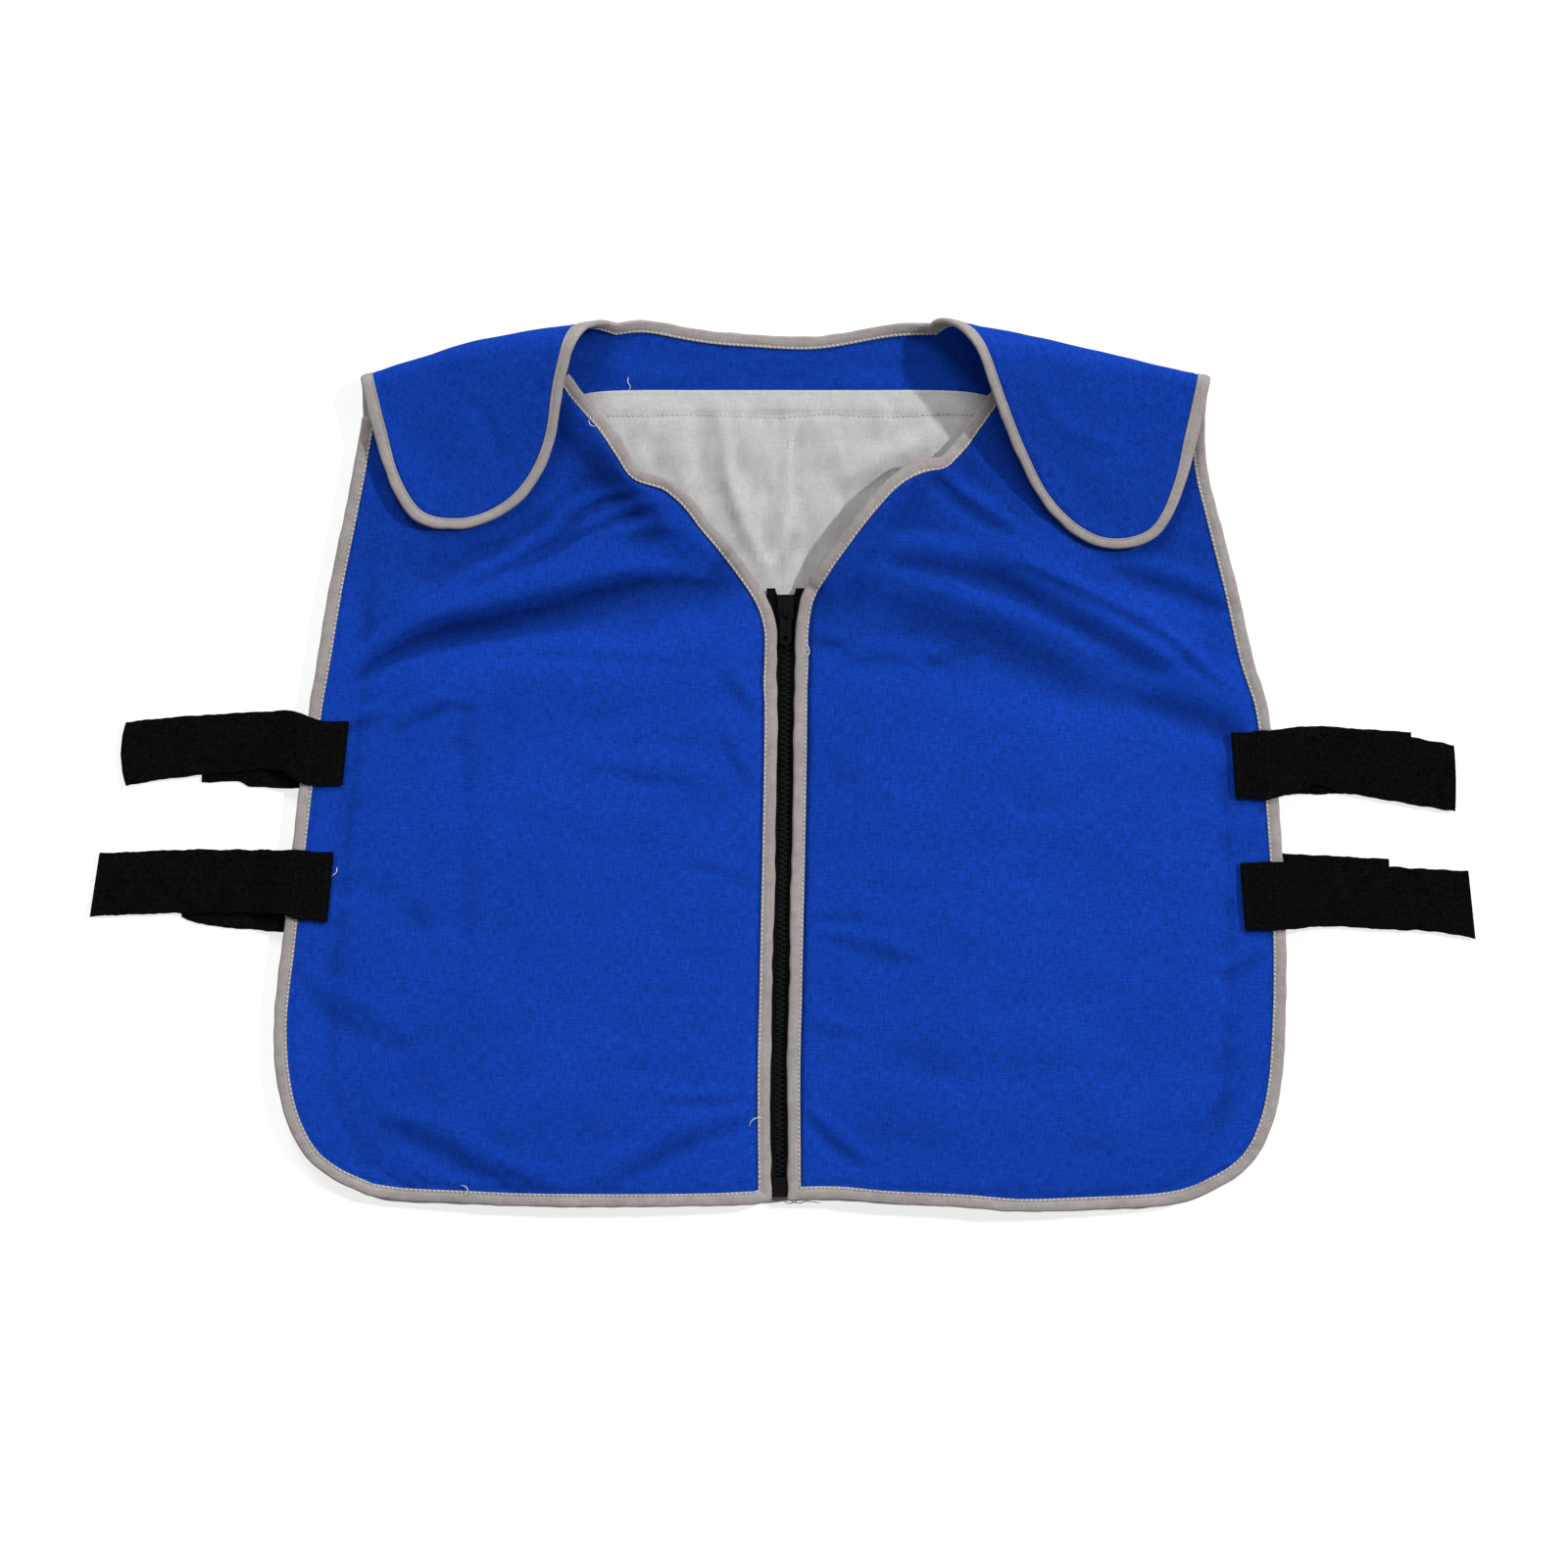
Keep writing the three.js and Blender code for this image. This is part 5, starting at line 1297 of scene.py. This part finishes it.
def back_outline():
    """Coarse cut of the back: outline and inner rim as anticlockwise loops, the rim's grid
    addresses, the grid of spots with its heights, and the numbers of its marked rows and columns."""
    first, last = SHOULDER_COLUMNS, 2 * SHOULDER_COLUMNS + NECK_COLUMNS
    neck_end = SHOULDER_COLUMNS + NECK_COLUMNS
    top = len(BACK_ROWS["side"]) + 1
    flap_top = top + ROLL_STEPS + len(FLAP_ROWS["left"]["outer_along"])

    def share_of(j):
        j = np.asarray(j, float)
        left = SHOULDER_SHARE * j / first
        right = 1 - SHOULDER_SHARE * (last - j) / first
        middle = mixed(SHOULDER_SHARE, 1 - SHOULDER_SHARE, (j - first) / NECK_COLUMNS)
        return np.where(j <= first, left, np.where(j >= neck_end, right, middle))

    def shoulder_edge(side, i, inner):
        fold, rows, step = FOLDS[side], FLAP_ROWS[side], i - top
        if step <= ROLL_STEPS:
            share = step / ROLL_STEPS
            a = fold.width * mixed(CORNER_ALONG, rows["inner_along"][0] + 0.02, share) if inner else 0.0
            radius = float(fold.radius(a))
            b = mixed(radius if inner else 0.0, math.pi * radius, share)
            return fold.axis(a) + b * fold.away
        k = step - ROLL_STEPS - 1
        end = "inner" if inner else "outer"
        a = fold.width * rows[end + "_along"][k]
        radius = float(fold.radius(a))
        beyond = fold.length * rows[end + "_down"][k] + float(fold.bulge(a)) - radius
        return fold.axis(a) + (math.pi * radius + beyond) * fold.away

    def outline(i, j):
        side = "left" if j < last / 2 else "right"
        if i == 0:
            return hem_point(mixed(SIDES["left"][0], SIDES["right"][0], share_of(j)), BACK_INSET / 2)
        if i < top:
            return side_point(side, BACK_ROWS["side"][i - 1], BACK_INSET)
        if i == top and first <= j <= neck_end:
            across, up = (BACK_NECK[key][j - first] for key in ("across", "up"))
            return np.array([across * HALF_WIDTH, up * BODY_LENGTH])
        across = j / first if side == "left" else (last - j) / first
        if i < flap_top or across in (0, 1):
            return shoulder_edge(side, i, across > 0)
        drop = TIP_DROP * FOLDS[side].length * math.sin(math.pi * across)
        ends = shoulder_edge(side, i, False), shoulder_edge(side, i, True)
        return mixed(*ends, across) + drop * FOLDS[side].away

    rim = [(0, j) for j in range(last)] + [(i, last) for i in range(flap_top)]
    rim += [(flap_top, j) for j in range(last, neck_end, -1)]
    rim += [(i, neck_end) for i in range(flap_top, top, -1)]
    rim += [(top, j) for j in range(neck_end, first, -1)]
    rim += [(i, first) for i in range(top, flap_top)]
    rim += [(flap_top, j) for j in range(first, 0, -1)]
    rim += [(i, 0) for i in range(flap_top, 0, -1)]
    outer = np.array([outline(i, j) for i, j in rim])
    inner = inset_loop(outer, BINDING_WIDTH)
    grid = np.full((flap_top + 1, last + 1, 2), np.nan)
    for (i, j), spot in zip(rim, inner):
        grid[i, j] = spot
    j = np.arange(1, last)
    across = share_of(j)
    outward = smooth((np.abs(2 * across - 1) - 0.4) / 0.5)
    for i in range(1, top):
        row = mixed(grid[i, 0], grid[i, last], across[:, None])
        row[:, 1] = mixed(BACK_ROWS["middle"][i - 1], BACK_ROWS["side"][i - 1], outward) * BODY_LENGTH
        grid[i, 1:last] = row
    for start, end in ((0, first), (neck_end, last)):
        share = (np.arange(start + 1, end) - start) / (end - start)
        for i in range(top, flap_top):
            grid[i, start + 1:end] = mixed(grid[i, start], grid[i, end], share[:, None])
    heights = np.full(grid.shape[:2], BACK_EDGE_Z)
    heights[1:top, 1:last] = BACK_FIELD_Z
    return dict(outer=outer, inner=inner, rim=rim, grid=grid, heights=heights, top=top,
                flap_top=flap_top, first=first, neck_end=neck_end, last=last)


def back_grid(cut):
    """Spots, heights and quads of the back: the body's fine grid, and one for each flap, whose
    first row is a stretch of the body's last."""
    top, last = cut["top"], cut["last"]
    rows, columns = np.arange(top + 1.0), np.arange(last + 1.0)
    fine = rows, columns, finer(rows, BODY_PARTS), finer(columns, COLUMN_PARTS)
    body = refined(cut["grid"][:top + 1], *fine)
    number = np.arange(body[..., 0].size).reshape(body.shape[:2])
    spots, heights = [body.reshape(-1, 2)], [refined(cut["heights"][:top + 1], *fine).ravel()]
    quads = [number.ravel()[grid_quads(*number.shape)]]
    count = number.size
    for start, end in ((0, cut["first"]), (cut["neck_end"], last)):
        rows, columns = np.arange(cut["flap_top"] - top + 1.0), np.arange(end - start + 1.0)
        fine = rows, columns, finer(rows, FLAP_PARTS), finer(columns, COLUMN_PARTS)
        patch = refined(cut["grid"][top:, start:end + 1], *fine)
        flap = count + np.arange(patch[..., 0].size).reshape(patch.shape[:2])
        flap[0] = number[-1, start * COLUMN_PARTS:end * COLUMN_PARTS + 1]
        spots.append(patch.reshape(-1, 2))
        heights.append(np.full(flap.size, BACK_EDGE_Z))
        quads.append(flap.ravel()[grid_quads(*flap.shape)])
        count += flap.size
    return np.concatenate(spots), np.concatenate(heights), np.concatenate(quads)


def with_strip(spots, z, quads, outer):
    """A mesh with one more strip of quads all round, which runs on into the binding, and without
    the points that no quad has."""
    rim = boundary_loop(quads)
    far, _ = nearest_on(spots[rim], np.concatenate([outer[::3], outer[:1]]))
    added = len(spots) + np.arange(len(rim))
    strip = np.stack([rim, added, np.roll(added, -1), np.roll(rim, -1)], 1)
    spots = np.concatenate([spots, mixed(spots[rim], far, TUCK)])
    z = np.append(z, z[rim])
    quads = np.concatenate([quads, strip])
    used, compact = np.unique(quads, return_inverse=True)
    return spots[used], z[used], compact.reshape(quads.shape)


def back_wrinkles(x, y, gap, strength):
    """Folds, waves and puckers of the back, mostly where it shows. gap is the distance from the
    binding."""
    calm = smooth(gap / 26)
    folds = BACK_FOLDS + FLAP_FOLDS["left"] + FLAP_FOLDS["right"]
    shows = y > YOKE_Y
    beside_neck = (y > 500) | (np.abs(x) > 120)
    wave = 0.55 * shows * waves(x, y, 60, 41) + 0.12 * waves(x, y, 18, 42)
    drawn = creases(x, y, folds, strength)
    return (drawn + beside_neck * wave) * calm + edge_pucker(x, y, np.maximum(gap, 0)) * shows


def build_back(sizes):
    cut = back_outline()
    marks = (cut["top"], cut["first"]), (cut["top"], cut["neck_end"])
    corners = [k for k, at in enumerate(cut["rim"]) if at in marks]
    outer, inner, _, starts = edge_lines(cut["outer"], cut["inner"], corners, EDGE_STEP)
    outer, inner = softened(outer, starts, 5), softened(inner, starts, 5)
    inner = mixed(inner, outer, FLAP_BINDING_LOSS * smooth((outer[:, 1] - FLAP_Y) / 30)[:, None])
    spots, z, quads = with_strip(*back_grid(cut), outer)
    outline = np.append(cut["outer"], cut["outer"][:1], axis=0)
    gap = nearest_on(spots, outline)[1] - BINDING_WIDTH
    h = back_wrinkles(*spots.T, gap, sizes.fold_strength)
    upper, lower = draped(spots, z, h + CLOTH / 2), draped(spots, z, h - CLOTH / 2)
    # what lies on the floor can only rise
    rise = np.maximum(-lower[:, 2], 0)
    upper[:, 2] += rise
    lower[:, 2] += rise
    stands_for = ("back_panel", "shoulder_flap_left", "shoulder_flap_right")
    # Painted shade on the back above the lining, growing over 40 mm to a quarter, for the shading there
    painted_upper_shade = 0.25 * smooth((spots[:, 1] - BACK_SHADE_Y) / 40)
    cloth = sheet_of("back_cloth", upper, lower, quads, "blue cotton", "blue_cloth", spots, stands_for, painted_upper_shade)
    edge = outer, inner, np.full(len(outer), BACK_EDGE_Z)
    binding = binding_piece("back_edge_binding", *edge, draped, sizes, ("back_binding",))
    thread = stitch_piece("back_binding_stitches", inner, outer, edge[2], draped, sizes)


def boundary_loop(quads):
    """The rim of a mesh of quads in order: each side that only one quad has leads to the next."""
    count = quads.max() + 1
    sides = np.concatenate([quads[:, [k, (k + 1) % 4]] for k in range(4)])
    code = sides[:, 0].astype(np.int64) * count + sides[:, 1]
    back = sides[:, 1].astype(np.int64) * count + sides[:, 0]
    lone = sides[~np.isin(code, back)]
    follow = dict(lone.tolist())
    start = int(lone[0, 0])
    loop = [start]
    while follow[loop[-1]] != start:
        loop.append(follow[loop[-1]])
    return np.array(loop)


def nearest_on(spots, line):
    """The nearest point of a line to each spot, and its distance."""
    near = np.full(len(spots), 1e9)
    best = spots.copy()
    for a, b in zip(line[:-1], line[1:]):
        d = b - a
        if not d @ d:
            continue
        t = np.clip(((spots - a) @ d) / (d @ d), 0, 1)
        at = a + t[:, None] * d
        gap = np.linalg.norm(spots - at, axis=1)
        best = np.where((gap < near)[:, None], at, best)
        near = np.minimum(near, gap)
    return best, near


def build_lining(sizes):
    cut = back_outline()
    field = cut["grid"][1:cut["top"], 1:cut["last"]]
    rows, columns = (np.arange(float(count)) for count in field.shape[:2])
    low, high = finer(rows[:-2], LINING_PARTS)[:-1], finer(rows[-3:], LINING_TOP_PARTS)
    at_rows = np.unique(np.concatenate([low, high]))
    spots = refined(field, rows, columns, at_rows, finer(columns, LINING_COLUMN_PARTS))
    x, y = spots[..., 0], spots[..., 1]
    edge = np.minimum.reduce([x - x[:, :1], x[:, -1:] - x, y - y[:1], y[-1:] - y])
    in_neck = smooth((y - 340) / 60) * smooth((130 - np.abs(x)) / 30)
    h = creases(x, y, LINING_FOLDS, sizes.fold_strength) + 0.5 * waves(x, y, 46, 51)
    h = h + 0.25 * waves(x * 1.8, y, 18, 52)
    h = np.clip(h, -0.4, 1.6) * (1 - in_neck) + (h + 1.4) * in_neck * 1.25
    z = LINING_Z + h * smooth(edge / 14)
    upper, lower = lying(spots, z, LINING / 2), lying(spots, z, -LINING / 2)
    # Painted shade in the hollows of the lining's folds
    painted_darkening = 0.4 * hollows(z, 14, 1.0).ravel()
    made = sheet_of("lining_cloth", upper, lower, grid_quads(*z.shape), "pale lining cloth",
                    "pale_lining", spots, ("back_lining",), painted_darkening)
    x = np.arange(-118, 118, 3.0)
    y = LINING_HEM_Y + 0.5 * waves(x, 0 * x, 60, 53)
    starts, ends = [points_of(x, y, 0)], [points_of(x + 1.9, y, 0)]
    for low, high, left, right in LINING_BARS:
        y = np.arange(low, high, 1.5)
        starts.append(points_of(left, y, 0))
        ends.append(points_of(right, y + 0.6, 0))
    start, end = np.concatenate(starts), np.concatenate(ends)
    for spots in (start, end):
        spots[:, 2] = top_of(made, spots[:, :2]) + 0.1
    vertices, faces = beads(start, end, LINING_STITCH, rings=3, sides=6)
    thread = piece_of("lining_stitches", vertices, faces, "pale sewing thread", "pale_lining")


def top_of(piece, spots):
    """Height in millimetres of the highest vertex of a piece near each spot."""
    points = np.empty(len(piece.data.vertices) * 3)
    piece.data.vertices.foreach_get("co", points)
    points = points.reshape(-1, 3) * 1000 - ORIGIN
    tops = []
    for spot in spots:
        gap = np.sum((points[:, :2] - spot) ** 2, 1)
        tops.append(points[gap < max(9.0, gap.min() * 1.5), 2].max())
    return np.array(tops)


def build_front(side, sizes):
    def placed(spot, z, h):
        return lying(nudged(spot, FRONT_KINKS[side]), z, h)

    spots, z = with_tuck(*front_grid(side, sizes.fold_strength))
    upper, lower = placed(spots, z, CLOTH / 2), placed(spots, z, -CLOTH / 2)
    # Painted shade: in the hollows of the folds, and growing over the upper chest towards the shoulders
    painted_upper_shade = 0.45 * smooth((spots[..., 1] - CHEST_SHADE_Y) / 110)
    painted_darkening = np.clip(hollows(z, 24, 1.2) + painted_upper_shade, 0, 1).ravel()
    cloth = sheet_of(f"front_cloth_{side}", upper, lower, grid_quads(*z.shape), "blue cotton",
                     "blue_cloth", spots, (f"front_panel_{side}",), painted_darkening)
    loop, rim, runs, up, across = front_edges(side)
    outer, inner, share, _ = edge_lines(loop, rim, runs[:-1], EDGE_STEP)
    rise = rim_heights(side, up, across)
    level = np.interp(share, np.arange(len(rise) + 1), np.append(rise, rise[0]))
    x, y = inner.T
    level = level + front_wrinkles(side, x, y, 0 * x, sizes.fold_strength) + edge_pucker(x, y, 0 * x)
    edge = outer, inner, level
    binding = binding_piece(f"front_edge_binding_{side}", *edge, placed, sizes, (f"front_binding_{side}",))
    thread = stitch_piece(f"front_stitches_{side}", inner, outer, level, placed, sizes)


def rim_heights(side, up, across):
    """Height of the front's rim at each point of the coarse outline."""
    parts = [
        front_height(side, up[0] + 0 * across, across), front_height(side, up, 1 + 0 * up),
        front_height(side, up[-1] + 0 * across, across)[::-1], front_height(side, up, 0 * up)[::-1],
    ]
    return np.concatenate([part[:-1] for part in parts])


def strap_rings(name, strap, front, edge_x, out, sides):
    """Profiles of one strap: a flat superellipse at each station, dropping from its sewn end
    towards the floor, with ripples, a thin free end and the uneven sides of the tape."""
    rows, seed = strap["rows"], 60 + list(STRAPS).index(name)
    high, low = (FRONT_STRAP_Z, 1.5 * STRAP + GAP) if front else (BACK_STRAP_Z, STRAP / 2)
    above, below = (through(rows["out"], rows[k], out)[:, None] for k in ("above", "below"))
    turn = np.arange(sides) * 2 * math.pi / sides
    across, thick = (np.sign(k(turn)) * np.abs(k(turn)) ** STRAP_ROUND for k in (np.cos, np.sin))
    out = out[:, None]
    uneven = 0.3 * waves(out, 0 * out, 15, seed + 40) + 0.12 * waves(out, 0 * out, 5, seed + 60)
    half = (above + below) / 2 + uneven
    y = strap["middle"] + (above - below) / 2 + half * across
    ripple = 0.35 * waves(out, y, 38, seed) * smooth((out - 6) / 20) + 0.07 * waves(out, y, 5, seed + 20)
    lift = 0.3 * (ripple + np.abs(ripple)) if front else 0
    thin = 0.55 + 0.45 * np.clip((out[-1] - out) / 1.6, 0, 1)
    z = mixed(high, low, smooth((out - STRAP_CLEAR) / STRAP_RAMP)) + lift + thick * STRAP / 2 * thin
    far = (out - out[0]) / (out[-1] - out[0])
    jut = strap["jut"] * smooth((far - 0.9) / 0.1) * (1 - across**2)
    return points_of(edge_x + strap["sign"] * (out + jut) + mixed(*strap["lean"], far) * across, y, z)


def strap_stitches(name, strap, edge_x, out):
    """A row of stitches round the sewn end of a strap."""
    rows, inside, turn = strap["rows"], out[0] + STRAP_MARGIN, -STRAP_ROW_END
    reach = [through(rows["out"], rows[side], out) for side in ("above", "below")]
    above, below = (np.interp(inside, out, far) - STRAP_MARGIN for far in reach)
    box = np.array([(inside, above), (turn, above), (turn, -below), (inside, -below), (inside, above)])
    length = along(box)
    begin = np.arange(0, length[-1] - 2, STRAP_PITCH)
    ends = []
    for at in (begin, begin + STRAP_STITCH_LENGTH):
        across, up = np.interp(at, length, box[:, 0]), np.interp(at, length, box[:, 1])
        x = edge_x + strap["sign"] * across + strap["lean"][0] * up / 20
        ends.append(points_of(x, strap["middle"] + up, FRONT_STRAP_Z + 0.3 * STRAP + 0.25))
    vertices, faces = beads(*ends, STRAP_STITCH, rings=3, sides=6)
    return piece_of(f"strap_{name}_stitches", vertices, faces, "black sewing thread", "black_strap")


def build_strap(name, sizes):
    strap = STRAPS[name]
    side = "left" if strap["sign"] < 0 else "right"
    front = name.startswith("front")
    edge_x = float(side_point(side, np.array(strap["middle"] / BODY_LENGTH))[..., 0])
    out = spread(strap["rows"]["out"][0], strap["rows"]["out"][-1], 1.5)
    vertices, faces = skin(strap_rings(name, strap, front, edge_x, out, sizes.strap_sides))
    made = piece_of(f"strap_{name}_tape", vertices, faces, "black hook and loop", "black_strap",
                    (f"strap_{name}",), vertices[:, :2])
    thread = [strap_stitches(name, strap, edge_x, out)] if front else []


def thread_end(points):
    """A thin tube along a smooth line through the points, thinner towards both ends."""
    length = along(points)
    line = through(length, points, spread(0, length[-1], 0.8))
    way = np.gradient(line, axis=0)
    way /= np.linalg.norm(way, axis=1)[:, None]
    beside = np.cross(way, [0.0, 0.0, 1.0])
    beside /= np.maximum(np.linalg.norm(beside, axis=1)[:, None], 1e-6)
    above = np.cross(beside, way)
    thick = 0.14 + 0.14 * np.sin(math.pi * np.linspace(0.12, 0.9, len(line)))[:, None, None]
    turn = (np.arange(6) * math.pi / 3)[None, :, None]
    return skin(line[:, None] + thick * (np.cos(turn) * beside[:, None] + np.sin(turn) * above[:, None]))


def build_loose_ends():
    """Ends of thread that stick out here and there."""
    for shade, slot in (("pale", "grey_binding"), ("black", "zip_tape")):
        parts = []
        for carrier, kind, points in LOOSE_ENDS:
            if kind == shade:
                points = np.array(points, float)
                points[:, 2] += top_of(bpy.data.objects[carrier], points[:1, :2])[0]
                parts.append(thread_end(points))
        piece_of(f"loose_ends_{shade}", *joined(parts), f"{shade} sewing thread", slot)


def build_tape(side):
    """One zip tape, whose end spreads above the slider."""
    y = spread(ZIP_BOTTOM_Y, SLIDER_Y + SLIDER_LENGTH / 2 + 4, 1.6)[:, None]
    flare = smooth((y - SLIDER_Y) / FLARE_LENGTH)
    inner = CHAIN_WIDTH / 2 - 1.2 + FLARE * flare
    outer = ZIP_HALF_GAP + TAPE_UNDER_PANEL - 0.6 * flare
    x = zip_x(y / BODY_LENGTH) + FLAPS[side]["sign"] * mixed(inner, outer, np.linspace(0, 1, 13))
    y = y + 0 * x
    z = TAPE_Z + 0.12 * waves(x, y, 22, 71)
    sheet_of(f"zip_tape_cloth_{side}", points_of(x, y, z + TAPE / 2), points_of(x, y, z - TAPE / 2),
             grid_quads(*z.shape), "black zip tape", "zip_tape", np.stack([x, y], -1), (f"zip_tape_{side}",))


def build_teeth(pitch):
    """The single teeth, set half a pitch apart on the two sides."""
    starts, ends = [], []
    y = np.arange(ZIP_BOTTOM_Y + BOX_LENGTH + 1.5, SLIDER_Y - 1, pitch)
    for sign, at in ((-1, y), (1, y + pitch / 2)):
        x = zip_x(at / BODY_LENGTH)
        starts.append(points_of(x + sign * TOOTH_ROOT, at, TAPE_Z))
        ends.append(points_of(x - sign * TOOTH_TIP, at, TAPE_Z))
    line = np.concatenate(starts), np.concatenate(ends)
    vertices, faces = beads(*line, (TOOTH_WIDTH, CHAIN_HEIGHT), square=TOOTH_ROUND, rings=6, sides=8)
    piece_of("zip_teeth", vertices, faces, "black moulded plastic", "zip_plastic", ("zip_chain",))


def build_end_film():
    """The stiff film on the foot of both tapes."""
    parts = []
    for sign in (-1, 1):
        y = spread(ZIP_BOTTOM_Y + 0.4, FILM_TOP, 1.5)[:, None]
        x = zip_x(y / BODY_LENGTH) + sign * np.linspace(FILM_INNER, FILM_OUTER, 8)
        y = y + 0 * x
        z = TAPE_Z + TAPE / 2 + 0.28 + 0.06 * waves(x, y, 6, 73)
        upper, lower = (points_of(x, y, z - drop).reshape(-1, 3) for drop in (0, FILM))
        vertices, faces = two_sided(upper, lower, grid_quads(*z.shape)[:, ::sign])
        parts.append((vertices, [faces]))
    piece_of("zip_end_film", *joined(parts), "black moulded plastic", "zip_plastic")


def build_zip(sizes):
    for side in FLAPS:
        build_tape(side)
    build_teeth(sizes.tooth_pitch * 1000)
    build_end_film()
    for name in ("zip_slider", "zip_pull", "zip_box"):
        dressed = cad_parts[name]
        dressed.data.materials.clear()
        dressed.data.materials.append(bpy.data.materials["black moulded plastic"])


def build_studio(scene):
    """Floor, key light from the right and above the neck, a wide soft fill and a pale world. The
    camera looks straight down."""
    mesh = bpy.data.meshes.new("studio_floor")
    corners = [(x * FLOOR_REACH, y * FLOOR_REACH, 0) for x, y in ((-1, -1), (1, -1), (1, 1), (-1, 1))]
    mesh.from_pydata(corners, [], [(0, 1, 2, 3)])
    floor = bpy.data.objects.new("studio_floor", mesh)
    scene.collection.objects.link(floor)
    floor.location.z = -FLOOR_DROP
    tree, shader = new_material("pale studio floor")
    fill(tree, shader, {
        "Base Color": colour(scene.vest_colours.floor), "Roughness": 0.9, "Specular IOR Level": 0.0,
        "Emission Color": (1.0, 1.0, 1.0, 1.0), "Emission Strength": FLOOR_GLOW,
    })
    mesh.materials.append(bpy.data.materials["pale studio floor"])
    world = bpy.data.worlds.new("studio")
    scene.world = world
    world.use_nodes = True
    sky = {"Color": (1.0, 1.0, 1.0, 1.0), "Strength": SKY}
    fill(world.node_tree, world.node_tree.nodes["Background"], sky)
    for name, energy, angle, way in LIGHTS:
        light = bpy.data.lights.new(name, "SUN")
        light.energy = energy
        light.angle = math.radians(angle)
        lamp = bpy.data.objects.new(name, light)
        scene.collection.objects.link(lamp)
        aim(lamp, way)
    camera = bpy.data.cameras.new("camera above")
    camera.sensor_width = 36
    camera.lens = camera.sensor_width * CAMERA_AT[2] / VIEW_WIDTH
    camera.clip_end = 50
    view = bpy.data.objects.new("camera above", camera)
    view.location = CAMERA_AT
    scene.collection.objects.link(view)
    scene.camera = view
    scene.view_settings.view_transform = "Standard"


def aim(lamp, way):
    """Points a light so that it shines from the given direction towards the origin."""
    lamp.location = Vector(way) * 3
    lamp.rotation_euler = Vector(way).to_track_quat("Z", "Y").to_euler()


STEPS = [
    VEST_OT_finishes, VEST_OT_studio, VEST_OT_back, VEST_OT_lining, VEST_OT_fronts,
    VEST_OT_straps, VEST_OT_zip, VEST_OT_threads,
]
CLASSES = [VestSizes, VestColours, *STEPS, VEST_PT_sidebar]


def register():
    for cls in CLASSES:
        bpy.utils.register_class(cls)
    bpy.types.Scene.vest_sizes = PointerProperty(type=VestSizes)
    bpy.types.Scene.vest_colours = PointerProperty(type=VestColours)


def unregister():
    del bpy.types.Scene.vest_colours
    del bpy.types.Scene.vest_sizes
    for cls in reversed(CLASSES):
        bpy.utils.unregister_class(cls)


def main():
    register()
    bpy.ops.vest.finishes()
    bpy.ops.vest.studio()
    bpy.ops.vest.back()
    bpy.ops.vest.lining()
    bpy.ops.vest.fronts()
    bpy.ops.vest.straps()
    bpy.ops.vest.zip()
    bpy.ops.vest.threads()


if __name__ == "__main__":
    main()
